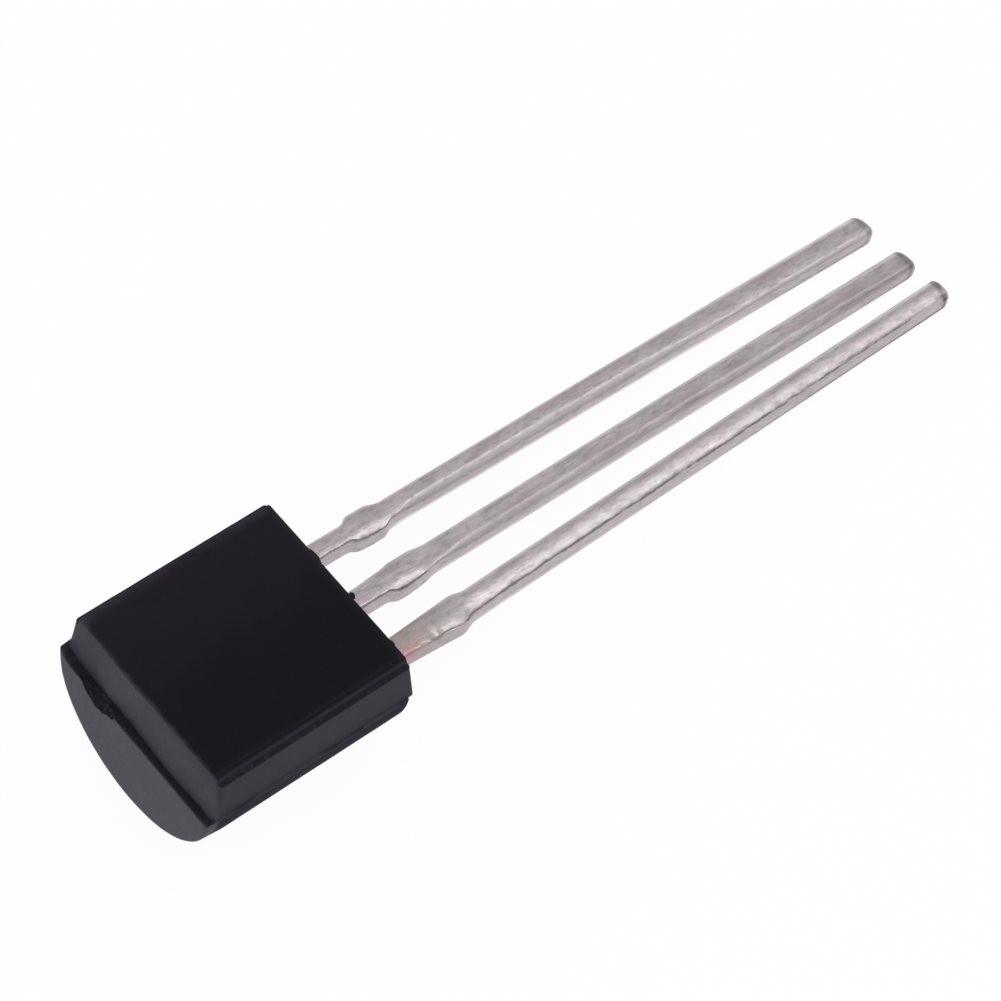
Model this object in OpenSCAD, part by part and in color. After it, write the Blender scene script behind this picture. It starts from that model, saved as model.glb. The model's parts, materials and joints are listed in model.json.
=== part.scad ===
// A three-lead transistor in a D-shaped moulded case, lying on its round back.
//
// The drawing frame has X across the case, Y from the far end towards the leads and Z out of the
// marking flat, which lies at Z = 0. The lying() module then sets every piece down on the bench.
// Lists of three values run in the order emitter, collector, base.

/* [Upper half of the case] */
// Width of the raised marking flat
flat_w = 4.04; // [3.6:0.02:4.4]
// Length of the marking flat, from the far end to the lead end
flat_l = 4.31; // [4:0.01:5]
// Height of the raised flat above the shoulder on each side
step_h = 0.18; // [0.05:0.01:0.4]
// Slope of the raised flat's two long sides, from rim to foot
step_draft = 0.045; // [0:0.005:0.1]
// Radius of the raised flat's two long edges
rim_r = 0.11; // [0.02:0.01:0.15]
// Width of the shoulder between each foot of the raised flat and the side
shoulder_w = 0.085; // [0.05:0.005:0.25]
// Depth from the flat to the plane where the two mould halves meet
parting_depth = 1.18; // [1.1:0.01:1.5]
// Mould draft of each long side, from the flat's shoulder to the parting plane
side_draft = 0.07; // [0:0.01:0.2]
// Mould draft of the far end wall
far_draft = 0.1; // [0:0.01:0.2]
// Mould draft of the lead end wall
lead_draft = 0.18; // [0:0.01:0.25]
// Radius of the four upright corners
corner_r = 0.1; // [0.02:0.01:0.2]

/* [Lower half of the case] */
// Thickness of the case, from the flat to the middle of the round back
case_t = 3.33; // [3.1:0.01:3.7]
// Radius of the round back
back_r = 2.26; // [2.22:0.01:2.5]
// Radius that the round back loses towards the far end face
back_taper = 0.04; // [0.01:0.01:0.15]
// Length over which the round back loses that radius
back_taper_l = 0.5; // [0.2:0.05:1.5]
// How far the lower half stands out beyond the upper half at the far end
ledge = 0.165; // [0.1:0.005:0.3]
// How far the lower half is set back under the upper half at the lead end
lead_recess = 0.15; // [0.05:0.01:0.2]
// Width of the scar where the mould's gate was broken off the ledge
gate_w = 1.15; // [0.6:0.05:1.6]
// Depth of the gate scar, in from the edge of the ledge
gate_d = 0.09; // [0.03:0.01:0.15]
// Height of the gate scar, down from the ledge
gate_h = 0.36; // [0.2:0.02:0.6]
// Place of the gate scar across the case, from the middle
gate_x = -1.0; // [-1.2:0.05:0]

/* [Leads] */
// Spacing of the leads where they leave the case
lead_pitch = 1.27; // [1.2:0.01:1.4]
// Thickness of the sheet that the leads are stamped from
lead_t = 0.46; // [0.35:0.01:0.5]
// Length of each lead, from the lower half of the case to its tip
lead_l = [14.57, 14.70, 14.79]; // [10:0.01:20]
// Sideways lean of each lead, in mm for each mm of length
lead_lean = [0.0134, 0.004, -0.0178]; // [-0.04:0.0002:0.04]
// Width of each lead's neck, next to the case
neck_w = [0.40, 0.44, 0.51]; // [0.34:0.01:0.54]
// Width across the stubs of the cut tie bar
stub_w = [0.62, 0.61, 0.65]; // [0.55:0.01:0.75]
// Distance from the case to the middle of the tie bar stubs
stub_y = [1.73, 1.68, 1.87]; // [1.6:0.01:2.4]
// Length of the stubs at their full width
stub_l = [0.48, 0.50, 0.18]; // [0.1:0.01:0.5]
// Length over which each lead widens from its neck to its stubs
stub_rise = [0.15, 0.25, 1.10]; // [0.1:0.01:1.2]
// Length over which each lead narrows from its stubs to its shaft
stub_fall = [0.24, 0.33, 0.28]; // [0.1:0.01:0.6]
// Width of each shaft just past its stubs
shaft_w = [0.425, 0.46, 0.485]; // [0.36:0.005:0.54]
// Width of each shaft just before its tip
tip_w = [0.515, 0.50, 0.475]; // [0.36:0.005:0.54]
// Corner radius of each tip, seen from above
tip_r = [0.17, 0.16, 0.14]; // [0.02:0.01:0.17]
// Radius of each tip's upper and lower edge, seen from the side
tip_edge_r = 0.12; // [0.04:0.01:0.15]

/* [Inside the case] */
// Width of the paddle that carries the die
paddle_w = 1.5; // [1.2:0.05:1.8]
// Length of the paddle
paddle_l = 1.45; // [1.2:0.05:1.6]
// Gap between the paddle and the two bond posts
paddle_gap = 0.25; // [0.15:0.01:0.4]
// Radius of the locking notch in each side of the paddle
notch_r = 0.13; // [0.05:0.01:0.2]
// Width of each bond post, at the inner end of an outer lead
post_w = 0.95; // [0.75:0.01:1.1]
// Length of each bond post
post_l = 0.8; // [0.6:0.01:0.9]
// Length of neck that holds each bond post inside the case
post_neck_l = 1.1; // [0.9:0.01:1.2]
// Side of the square silicon die
die_w = 0.46; // [0.3:0.01:0.6]
// Thickness of the die
die_t = 0.2; // [0.1:0.01:0.3]
// Side of the square bed of conductive adhesive under the die
attach_w = 0.54; // [0.4:0.01:0.7]
// Thickness of the adhesive
attach_t = 0.03; // [0.02:0.005:0.06]
// Spacing of the two bond pads on the die
pad_pitch = 0.22; // [0.16:0.01:0.26]
// Diameter of the bond wire
wire_d = 0.05; // [0.03:0.005:0.07]
// Diameter of the ball and of the foot where a wire is bonded
bond_d = 0.1; // [0.08:0.005:0.12]
// Height of each wire's loop above the die
loop_h = 0.3; // [0.15:0.01:0.5]

/* [Hidden] */
$fn = 96;

EMITTER = 0;
COLLECTOR = 1;
BASE = 2;

epoxy_colour = [0.14, 0.14, 0.16];
tin_colour = [0.68, 0.67, 0.66];
silicon_colour = [0.35, 0.37, 0.42];
adhesive_colour = [0.78, 0.78, 0.76];
gold_colour = [0.85, 0.66, 0.25];

// Reach of a cutting shape past the surface that it cuts
over = 1;

// Half-widths of the upper half at the foot of its raised flat, its shoulder and the parting plane
foot_x = flat_w / 2 + step_draft;
shoulder_x = foot_x + shoulder_w;
parting_x = shoulder_x + side_draft;

// The raised flat's long edges round from its top to the slope of its sides
rim_round = min(rim_r, 0.9 * step_h);
rim_turn = atan2(step_draft, step_h);
rim_x = flat_w / 2 - rim_round * (1 - sin(rim_turn)) / cos(rim_turn);

// Each corner's round stands a hair proud of the two walls that it joins, so that they meet cleanly
corner_inset = 0.99 * corner_r;

// Ends of the two halves along Y, and the depth of the round back's axis
upper_far = -far_draft;
upper_near = flat_l + lead_draft;
lower_far = upper_far - ledge;
lower_near = upper_near - lead_recess;
back_axis = case_t - back_r;

// The gate scar is a round cut, leaning so that it runs out down the end face
gate_r = (pow(gate_w / 2, 2) + pow(gate_d, 2)) / (2 * gate_d);
gate_lean = atan2(gate_d, gate_h);

// The leads lie just under the parting plane
lead_bottom = parting_depth + lead_t;
lead_x = [-lead_pitch, 0, lead_pitch];

// Inner ends of the leads along Y
post_near = lower_near - post_neck_l;
post_far = post_near - post_l;
paddle_near = post_far - paddle_gap;
paddle_far = paddle_near - paddle_l;
die_y = (paddle_near + paddle_far) / 2;
post_y = (post_near + post_far) / 2;
die_top = -parting_depth + attach_t + die_t;

// Steps along a smooth change of width, and around a rounded edge or corner
ease_steps = 6;
corner_steps = 6;

// Rings along a bond wire, sides of its section, and the share of its length at each bond
wire_rings = 14;
wire_sides = 8;
bond_share = 0.08;

// The part lies on the lead-end edge of its back and on the tip of its longest lead
tip_reach = max(lead_l) - tip_edge_r;
tip_drop = case_t - lead_bottom + tip_edge_r;
lie_angle = atan2(tip_drop, tip_reach) - asin(tip_edge_r / norm([tip_reach, tip_drop]));
rest_h = lower_near * sin(lie_angle) + case_t * cos(lie_angle);
far_end = lower_far * cos(lie_angle) - (case_t - back_taper) * sin(lie_angle);
tip_end = (lower_near + tip_reach) * cos(lie_angle)
    - (parting_depth + tip_edge_r) * sin(lie_angle) + tip_edge_r;
rest_y = -(far_end + tip_end) / 2;

// Smooth rise from 0 to 1
function ease(u) = (1 - cos(180 * u)) / 2;

// A smooth change of half-width from w0 to w1 as the distance goes from t0 to t1
function blend(t0, t1, w0, w1) =
    [for (k = [0:ease_steps]) let (u = k / ease_steps) [t0 + (t1 - t0) * u, (w0 + (w1 - w0) * ease(u)) / 2]];

// The round corner of lead i's tip, as distance and half-width
function tip_corner(i) =
    [for (k = [0:corner_steps]) let (a = 90 * k / corner_steps)
        [lead_l[i] - tip_r[i] * (1 - sin(a)), tip_w[i] / 2 - tip_r[i] * (1 - cos(a))]];

// One edge of lead i outside the case, as distance from the case and half-width
function lead_edge(i) =
    let (rise_end = stub_y[i] - stub_l[i] / 2, fall_start = stub_y[i] + stub_l[i] / 2)
    concat(
        [[0, neck_w[i] / 2]],
        blend(rise_end - stub_rise[i], rise_end, neck_w[i], stub_w[i]),
        blend(fall_start, fall_start + stub_fall[i], stub_w[i], shaft_w[i]),
        tip_corner(i)
    );

// A list of points in reverse order
function reversed(points) = [for (k = [len(points) - 1:-1:0]) points[k]];

// An edge of lead i as points in the plan, on side +1 or -1 of its leaning centre line
function plan_edge(i, side) =
    [for (e = lead_edge(i)) [lead_x[i] + lead_lean[i] * e[0] + side * e[1], lower_near + e[0]]];

// Sets the finished part down on the bench, flat upwards, with the origin under its middle
module lying() {
    translate([0, rest_y, rest_h]) rotate([-lie_angle, 0, 0]) children();
}

// Stands a profile drawn in X and Z on the drawing frame and extrudes it along Y
module along_y(y0, y1) {
    translate([0, y1, 0]) rotate([90, 0, 0]) linear_extrude(y1 - y0) children();
}

// Stands a profile drawn in Y and Z on the drawing frame and extrudes it along X
module along_x(half_w) {
    translate([-half_w, 0, 0]) rotate([90, 0, 90]) linear_extrude(2 * half_w) children();
}

// Lays a plan on the parting plane and extrudes it down through the lead sheet
module in_lead_sheet() {
    translate([0, 0, -lead_bottom]) linear_extrude(lead_t) children();
}

// The +X edge of the upper half's cross-section, from the parting plane up to the flat
function section_edge() = concat(
    [[parting_x, -parting_depth], [shoulder_x, -step_h], [foot_x, -step_h]],
    [for (k = [0:corner_steps]) let (a = rim_turn + (90 - rim_turn) * k / corner_steps)
        [rim_x + rim_round * cos(a), rim_round * (sin(a) - 1)]]
);

// Cross-section of the upper half: raised flat, shoulders and drafted sides
module upper_section() {
    polygon(concat(section_edge(), [for (p = reversed(section_edge())) [-p[0], p[1]]]));
}

// Long section of the upper half, with the draft of its two end walls
module upper_profile() {
    polygon([
        [0, 0], [upper_far, -parting_depth], [upper_near, -parting_depth], [flat_l, 0]
    ]);
}

// What the round of the corner at +X and +Y takes off, from the foot of that corner
module corner_scrap(end_draft) {
    lean = atan(side_draft / (parting_depth - step_h));
    rotate([atan(end_draft / parting_depth), -lean, 0]) difference() {
        translate([-corner_inset, -corner_inset, -over])
            cube([corner_inset + over, corner_inset + over, parting_depth + 2 * over]);
        translate([-corner_inset, -corner_inset, -2 * over])
            cylinder(h = parting_depth + 4 * over, r = corner_r);
    }
}

module upper_half() {
    difference() {
        intersection() {
            along_y(upper_far, upper_near) upper_section();
            along_x(parting_x) upper_profile();
        }
        for (side = [0, 1]) mirror([side, 0, 0]) {
            translate([parting_x, upper_near, -parting_depth]) corner_scrap(lead_draft);
            translate([parting_x, upper_far, -parting_depth]) mirror([0, 1, 0]) corner_scrap(far_draft);
        }
    }
}

// The round back, drawn whole about its axis, with the taper towards its far end
module back_barrel() {
    translate([0, lower_far, -back_axis]) rotate([-90, 0, 0]) {
        cylinder(h = back_taper_l, r1 = back_r - back_taper, r2 = back_r);
        translate([0, 0, back_taper_l]) cylinder(h = lower_near - lower_far - back_taper_l, r = back_r);
    }
}

// The scar is widest on the ledge and runs out down the far end face
module gate_scar() {
    translate([gate_x, lower_far + gate_d, -parting_depth]) rotate([-gate_lean, 0, 0])
        translate([0, -gate_r, -gate_h - over]) cylinder(h = gate_h + 2 * over, r = gate_r);
}

module lower_half() {
    difference() {
        intersection() {
            back_barrel();
            translate([-back_r - over, lower_far, -case_t - over])
                cube([2 * (back_r + over), lower_near - lower_far, case_t + over - parting_depth]);
        }
        gate_scar();
    }
}

// Side view of the lead sheet around lead i, with both edges of its tip rounded
module lead_profile(i) {
    tip = lower_near + lead_l[i];
    translate([0, -lead_bottom]) square([tip - tip_edge_r, lead_t]);
    translate([0, tip_edge_r - lead_bottom]) square([tip, lead_t - 2 * tip_edge_r]);
    for (z = [tip_edge_r, lead_t - tip_edge_r])
        translate([tip - tip_edge_r, z - lead_bottom]) circle(tip_edge_r);
}

// Plan of the die paddle, locked in the plastic by a notch in each side
module paddle_plan() {
    difference() {
        translate([-paddle_w / 2, paddle_far]) square([paddle_w, paddle_l]);
        for (side = [-1, 1])
            translate([side * paddle_w / 2, paddle_near - paddle_l / 4]) circle(notch_r);
    }
}

// Plan of lead i's inner end: the die paddle on the collector, a bond post on the others
module inner_plan(i) {
    if (i == COLLECTOR) {
        paddle_plan();
        translate([-neck_w[i] / 2, paddle_near - paddle_l / 2])
            square([neck_w[i], lower_near - paddle_near + paddle_l / 2]);
    } else {
        translate([lead_x[i] - post_w / 2, post_far]) square([post_w, post_l]);
        translate([lead_x[i] - neck_w[i] / 2, post_near - post_l / 2])
            square([neck_w[i], post_neck_l + post_l / 2]);
    }
}

// One stamped lead, from its inner end to its tip
module lead(i) {
    intersection() {
        in_lead_sheet() {
            inner_plan(i);
            polygon(concat(plan_edge(i, 1), reversed(plan_edge(i, -1))));
        }
        along_x(back_r) lead_profile(i);
    }
}

module adhesive_bed() {
    translate([-attach_w / 2, die_y - attach_w / 2, -parting_depth]) cube([attach_w, attach_w, attach_t]);
}

module die_block() {
    translate([-die_w / 2, die_y - die_w / 2, -parting_depth + attach_t]) cube([die_w, die_w, die_t]);
}

// Ends of the wire on side -1 (emitter) or +1 (base): on the die and on the bond post
function wire_start(side) = [side * pad_pitch / 2, die_y, die_top];
function wire_end(side) = [side * lead_pitch, post_y, -parting_depth];

// Centre of the wire at turn angle a, from 0 on the die to 180 on the post
function wire_point(side, a) =
    let (from = wire_start(side), to = wire_end(side)) from + (to - from) * ease(a / 180) + [0, 0, loop_h * sin(a)];

// Direction across the wire's loop, and the direction in the loop's plane at turn angle a
function wire_side(side) =
    let (run = wire_end(side) - wire_start(side)) [run[1], -run[0], 0] / norm([run[0], run[1]]);
function wire_slope(side, a) =
    let (run = wire_end(side) - wire_start(side), v = run * sin(a) / 2 + [0, 0, loop_h * cos(a)]) v / norm(v);

// Radius of the wire, which spreads into a ball or a foot at each bond
function wire_radius(a) =
    let (near = min(a, 180 - a) / (180 * bond_share))
    near >= 1 ? wire_d / 2 : bond_d / 2 + (wire_d - bond_d) / 2 * ease(near);

// Turn angle of ring k: the first and last three rings lie close together, in the bonds
function ring_angle(k) =
    let (bond = 180 * bond_share, inner = wire_rings - 6)
    k < 3 ? bond * k / 3
    : k > wire_rings - 4 ? 180 - bond * (wire_rings - 1 - k) / 3
    : bond + (180 - 2 * bond) * (k - 3) / (inner - 1);

// A bond wire: a round tube that rises from the die, loops over and lands on the post
module bond_wire(side) {
    points = [for (k = [0:wire_rings - 1]) let (a = ring_angle(k), u = wire_side(side), t = wire_slope(side, a))
        for (j = [0:wire_sides - 1]) let (b = 360 * j / wire_sides)
            wire_point(side, a) + wire_radius(a) * (u * cos(b) + cross(t, u) * sin(b))];
    walls = [for (k = [0:wire_rings - 2], j = [0:wire_sides - 1])
        let (n = (j + 1) % wire_sides, low = k * wire_sides, high = low + wire_sides)
            each [[low + j, high + j, high + n], [low + j, high + n, low + n]]];
    first = [for (j = [0:wire_sides - 1]) j];
    last = [for (j = [wire_sides - 1:-1:0]) (wire_rings - 1) * wire_sides + j];
    polyhedron(points, concat(walls, [first, last]));
}

module moulded_case() {
    color(epoxy_colour) lying() difference() {
        union() {
            upper_half();
            lower_half();
        }
        for (i = [EMITTER, COLLECTOR, BASE]) lead(i);
        adhesive_bed();
        die_block();
        for (side = [-1, 1]) bond_wire(side);
    }
}

module lead_emitter() {
    color(tin_colour) lying() lead(EMITTER);
}

module lead_collector() {
    color(tin_colour) lying() lead(COLLECTOR);
}

module lead_base() {
    color(tin_colour) lying() lead(BASE);
}

module silicon_die() {
    color(silicon_colour) lying() die_block();
}

module die_attach() {
    color(adhesive_colour) lying() adhesive_bed();
}

module bond_wire_emitter() {
    color(gold_colour) lying() bond_wire(-1);
}

module bond_wire_base() {
    color(gold_colour) lying() bond_wire(1);
}

moulded_case();
lead_emitter();
lead_collector();
lead_base();
silicon_die();
die_attach();
bond_wire_emitter();
bond_wire_base();
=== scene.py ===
"""Looks of a three-lead transistor in a D-shaped moulded case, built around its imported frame.

The pieces are drawn in the case's own drawing axes, in millimetres: X across the case, Y from the far
end towards the lead tips and Z out of the marking flat, which lies at Z = 0. The marking flat's mount in
the record says where those axes lie, so every piece lands on its CAD node with no fitting.
"""

from __future__ import annotations

import json
import logging
import math
from dataclasses import dataclass, field
from enum import Enum
from typing import Any, Callable, Iterable, Sequence

import bmesh
import bpy
from mathutils import Matrix, Vector, noise

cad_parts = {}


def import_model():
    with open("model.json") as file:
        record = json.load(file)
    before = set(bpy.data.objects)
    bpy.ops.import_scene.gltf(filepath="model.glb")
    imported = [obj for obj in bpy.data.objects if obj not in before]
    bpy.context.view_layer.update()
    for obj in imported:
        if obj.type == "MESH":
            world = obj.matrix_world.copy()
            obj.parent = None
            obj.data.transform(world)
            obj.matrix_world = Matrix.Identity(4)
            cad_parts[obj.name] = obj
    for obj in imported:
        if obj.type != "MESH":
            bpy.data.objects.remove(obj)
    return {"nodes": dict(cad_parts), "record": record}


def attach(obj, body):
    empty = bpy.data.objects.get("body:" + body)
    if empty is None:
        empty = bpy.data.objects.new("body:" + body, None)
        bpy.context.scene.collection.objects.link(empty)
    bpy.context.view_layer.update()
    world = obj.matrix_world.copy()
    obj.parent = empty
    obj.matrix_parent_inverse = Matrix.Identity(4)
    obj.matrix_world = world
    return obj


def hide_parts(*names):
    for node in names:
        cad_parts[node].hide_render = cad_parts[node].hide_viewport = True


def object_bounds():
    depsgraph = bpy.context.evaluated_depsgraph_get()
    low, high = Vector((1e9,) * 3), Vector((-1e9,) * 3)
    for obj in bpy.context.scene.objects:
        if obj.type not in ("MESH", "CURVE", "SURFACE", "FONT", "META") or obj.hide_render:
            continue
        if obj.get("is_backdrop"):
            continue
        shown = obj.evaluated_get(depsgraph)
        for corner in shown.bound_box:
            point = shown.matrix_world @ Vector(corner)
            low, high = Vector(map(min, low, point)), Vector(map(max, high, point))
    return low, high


LOG = logging.getLogger("transistor")

MM = 0.001
ROOT = "root"
FRAME_PIXELS = 1001
TINY = 1e-6
FLAT_ANGLE = math.radians(0.3)
NOISE_SMOOTHNESS = 1.0
NOISE_GROWTH = 2.0
NOISE_LAYERS = 3
UP = Vector((0.0, 0.0, 1.0))

Place = tuple[float, float, float]
Colour = tuple[float, float, float]
Span = tuple[float, float]
Knots = Sequence[tuple[float, float]]


class Cut(Enum):
    """What a solid does to the one that it is combined with."""

    JOIN = "UNION"
    REMOVE = "DIFFERENCE"


class Solver(Enum):
    """How two solids are combined: the manifold one copes with finely curved solids."""

    EXACT = "EXACT"
    MANIFOLD = "MANIFOLD"


class Lead(Enum):
    """The three leads, from -X to +X."""

    EMITTER = "emitter"
    COLLECTOR = "collector"
    BASE = "base"


# Shader building


def operator(operation: str, swapped: bool = False) -> Callable[[Any, Any], Value]:
    """A method that joins a value and another one in a Math node.

    Args:
        operation: The node's operation.
        swapped: Whether the other value comes first.

    Returns:
        The method.
    """

    def method(value: Value, other: Any) -> Value:
        """Add the node."""
        pair = (other, value) if swapped else (value, other)
        return value.shader.add("ShaderNodeMath", {"operation": operation}, dict(enumerate(pair)))

    return method


@dataclass(frozen=True)
class Texture:
    """A noise from 0 to 1: its features for each millimetre, its detail and how rough that is."""

    per_mm: float
    detail: float = 3.0
    rough: float = 0.55


class Value:
    """A socket that carries a number, with Python's operators as Math nodes."""

    __add__ = operator("ADD")
    __radd__ = operator("ADD", swapped=True)
    __sub__ = operator("SUBTRACT")
    __rsub__ = operator("SUBTRACT", swapped=True)
    __mul__ = operator("MULTIPLY")
    at_most = operator("MINIMUM")
    at_least = operator("MAXIMUM")

    def __init__(self, shader: Shader, socket: bpy.types.NodeSocket) -> None:
        """Wrap one output socket of a shader's tree."""
        self.shader = shader
        self.socket = socket

    def __abs__(self) -> Value:
        """Distance from zero."""
        return self.shader.add("ShaderNodeMath", {"operation": "ABSOLUTE"}, {0: self})

    def clamped(self) -> Value:
        """The value held between 0 and 1."""
        return self.at_least(0.0).at_most(1.0)

    def about(self, width: float) -> Value:
        """A noise from 0 to 1 as a shift about 0, half a width to either side."""
        return (self - 0.5) * width

    def ramp(self, low: float, high: float) -> Value:
        """A smooth step from 0 at low to 1 at high.

        Args:
            low: The value that becomes 0.
            high: The value that becomes 1; it may be the smaller one.

        Returns:
            The wrapped result.
        """
        settings = {"interpolation_type": "SMOOTHSTEP"}
        ends = {"From Min": low, "From Max": high, "To Min": 0.0, "To Max": 1.0}
        if high < low:
            ends = {"From Min": high, "From Max": low, "To Min": 1.0, "To Max": 0.0}
        return self.shader.add("ShaderNodeMapRange", settings, {"Value": self, **ends})


class Shader:
    """The node tree of a new material, or of the sky."""

    def __init__(self, name: str, sky: bool = False) -> None:
        """Start a tree that holds only its output.

        Args:
            name: The material's name.
            sky: Whether this is the world's tree.
        """
        blocks = bpy.data.worlds if sky else bpy.data.materials
        self.material = blocks.new(name)
        self.material.use_nodes = True
        self.tree = self.material.node_tree
        self.tree.nodes.clear()
        self.output = self.tree.nodes.new("ShaderNodeOutputWorld" if sky else "ShaderNodeOutputMaterial")

    def node(self, kind: str, settings: dict[str, Any], inputs: dict[Any, Any]) -> bpy.types.Node:
        """Add a node of any type.

        Args:
            kind: The node's type name.
            settings: Its properties, which are set first.
            inputs: A value or a wrapped socket for each input, by name or number.

        Returns:
            The new node.
        """
        node = self.tree.nodes.new(kind)
        for key, value in settings.items():
            setattr(node, key, value)
        for key, value in inputs.items():
            if isinstance(value, Value):
                self.tree.links.new(value.socket, node.inputs[key])
            elif node.inputs[key].type == "RGBA":
                node.inputs[key].default_value = (*value, 1.0)
            else:
                node.inputs[key].default_value = value
        return node

    def add(self, kind: str, settings: dict[str, Any], inputs: dict[Any, Any], output: Any = 0) -> Value:
        """Add a node as node() does, and wrap one of its outputs, by name or number."""
        return Value(self, self.node(kind, settings, inputs).outputs[output])

    def millimetres(self, drawing: Matrix | None = None, turn: float = 0.0) -> Value:
        """Object coordinates in millimetres, in the row frame or in the drawing's own axes.

        Args:
            drawing: The transform from the row frame to the drawing axes, if those are wanted.
            turn: An angle about the drawing's up axis, in radians.

        Returns:
            The wrapped vector.
        """
        place = self.add("ShaderNodeTexCoord", {}, {}, "Object")
        inputs = {"Vector": place, "Scale": (1 / MM, 1 / MM, 1 / MM)}
        if drawing is not None:
            turned = Matrix.Rotation(turn, 4, "Z") @ drawing
            inputs["Location"] = turned.to_translation()
            inputs["Rotation"] = turned.to_euler()
        return self.add("ShaderNodeMapping", {"vector_type": "POINT"}, inputs)

    def stretched(self, place: Value, scale: Place) -> Value:
        """A vector scaled along each axis."""
        return self.add("ShaderNodeVectorMath", {"operation": "MULTIPLY"}, {0: place, 1: scale})

    def noise(self, place: Value, kind: Texture) -> Value:
        """Noise of one kind over a wrapped place."""
        inputs = {"Vector": place, "Scale": kind.per_mm, "Detail": kind.detail, "Roughness": kind.rough}
        return self.add("ShaderNodeTexNoise", {"noise_dimensions": "3D"}, inputs, 0)

    def attribute(self, name: str) -> Value:
        """A number that the mesh carries at each vertex."""
        return self.add("ShaderNodeAttribute", {"attribute_name": name}, {}, "Fac")

    def axis(self, place: Value, letter: str) -> Value:
        """One component of a vector."""
        return self.add("ShaderNodeSeparateXYZ", {}, {"Vector": place}, letter)

    def distance(self, place: Value, point: Place) -> Value:
        """Distance of a vector from a fixed point."""
        return self.add("ShaderNodeVectorMath", {"operation": "DISTANCE"}, {0: place, 1: point}, "Value")

    def mix(self, share: Any, first: Any, second: Any) -> Value:
        """Blend two colours.

        Args:
            share: The wrapped share of the second colour.
            first: The colour where the share is 0.
            second: The colour where it is 1.

        Returns:
            The wrapped colour.
        """
        settings = {"data_type": "RGBA", "clamp_factor": True}
        # The node has sockets for each data type, and these numbers are those of the colours
        return self.add("ShaderNodeMix", settings, {0: share, 6: first, 7: second}, 2)

    def bump(self, height: Value, depth: float, below: Any = None) -> Value:
        """A bumped normal.

        Args:
            height: The wrapped height, from 0 to 1.
            depth: The relief's real depth in millimetres.
            below: A wrapped normal that this one is laid on.

        Returns:
            The wrapped normal.
        """
        inputs = {"Height": height, "Distance": depth * MM, "Strength": 1.0}
        if below is not None:
            inputs["Normal"] = below
        return self.add("ShaderNodeBump", {}, inputs, "Normal")

    def rays(self, kind: str) -> Value:
        """1 for rays of one kind, 0 for the others."""
        return self.add("ShaderNodeLightPath", {}, {}, "Is " + kind + " Ray")

    def seen(self) -> Value:
        """1 for rays that show the scene to the camera, in a reflection or through glass."""
        return self.rays("Camera").at_least(self.rays("Glossy")).at_least(self.rays("Transmission"))

    def close(self, node: bpy.types.Node) -> None:
        """Send a shader node to the tree's output."""
        self.tree.links.new(node.outputs[0], self.output.inputs["Surface"])

    def surface(self, inputs: dict[str, Any]) -> bpy.types.Material:
        """Close the tree with a Principled surface that has these inputs, and give the material."""
        self.close(self.node("ShaderNodeBsdfPrincipled", {}, inputs))
        return self.material


# Finishes


class Skin:
    """The case's surface as its finish sees it: places on it, in millimetres, and the moulding's noises."""

    def __init__(self, shader: Shader, case: MouldedCase, finish: EpoxyFinish) -> None:
        """Measure the surface.

        Args:
            shader: The finish's node tree.
            case: The case, for its sizes.
            finish: The finish, for its noises.
        """
        self.shader = shader
        self.place = shader.millimetres(case.bench.matrix().inverted())
        self.cloud = shader.noise(self.place, finish.cloud)
        self.fleck = shader.noise(self.place, finish.fleck)
        self.grain = shader.noise(self.place, finish.grain)
        self.wave = shader.noise(self.place, finish.wave).about(finish.wave_width)
        self.across = shader.axis(self.place, "X")
        self.along = shader.axis(self.place, "Y") + self.fleck.about(finish.end_uneven)
        self.up = shader.axis(self.place, "Z")
        lift = self.across.ramp(case.ear_x, case.ear_x - case.ear_w) * self.along.ramp(case.ear_l, 0.0)
        self.level = self.up + case.parting_depth - lift * case.ear_h
        self.below = self.level.ramp(*finish.below)
        self.on_top = (self.up + self.fleck.about(finish.top_uneven)).ramp(*finish.top)
        self.scar = self.gate_scar(case, finish)

    def gate_scar(self, case: MouldedCase, finish: EpoxyFinish) -> Value:
        """Where the gate was broken off.

        Args:
            case: The case, for the gate's sizes.
            finish: The finish, for the scar's soft edges.

        Returns:
            The wrapped share, from 0 to 1.
        """
        inset = self.shader.axis(self.place, "Y") - case.lower_far
        half_w = case.gate_w / 2
        beside = abs(self.across - case.gate_x).ramp(half_w + finish.scar_margin, half_w)
        depth = inset.ramp(*finish.scar_front) * inset.ramp(*finish.scar_back)
        return depth * self.level.ramp(*finish.scar_top) * beside

    def near(self, point: Place, span: Span, wave: Any = 0.0) -> Value:
        """How near the surface is to a spot, from 0 to 1."""
        return (self.shader.distance(self.place, point) + wave).ramp(*span)


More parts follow.
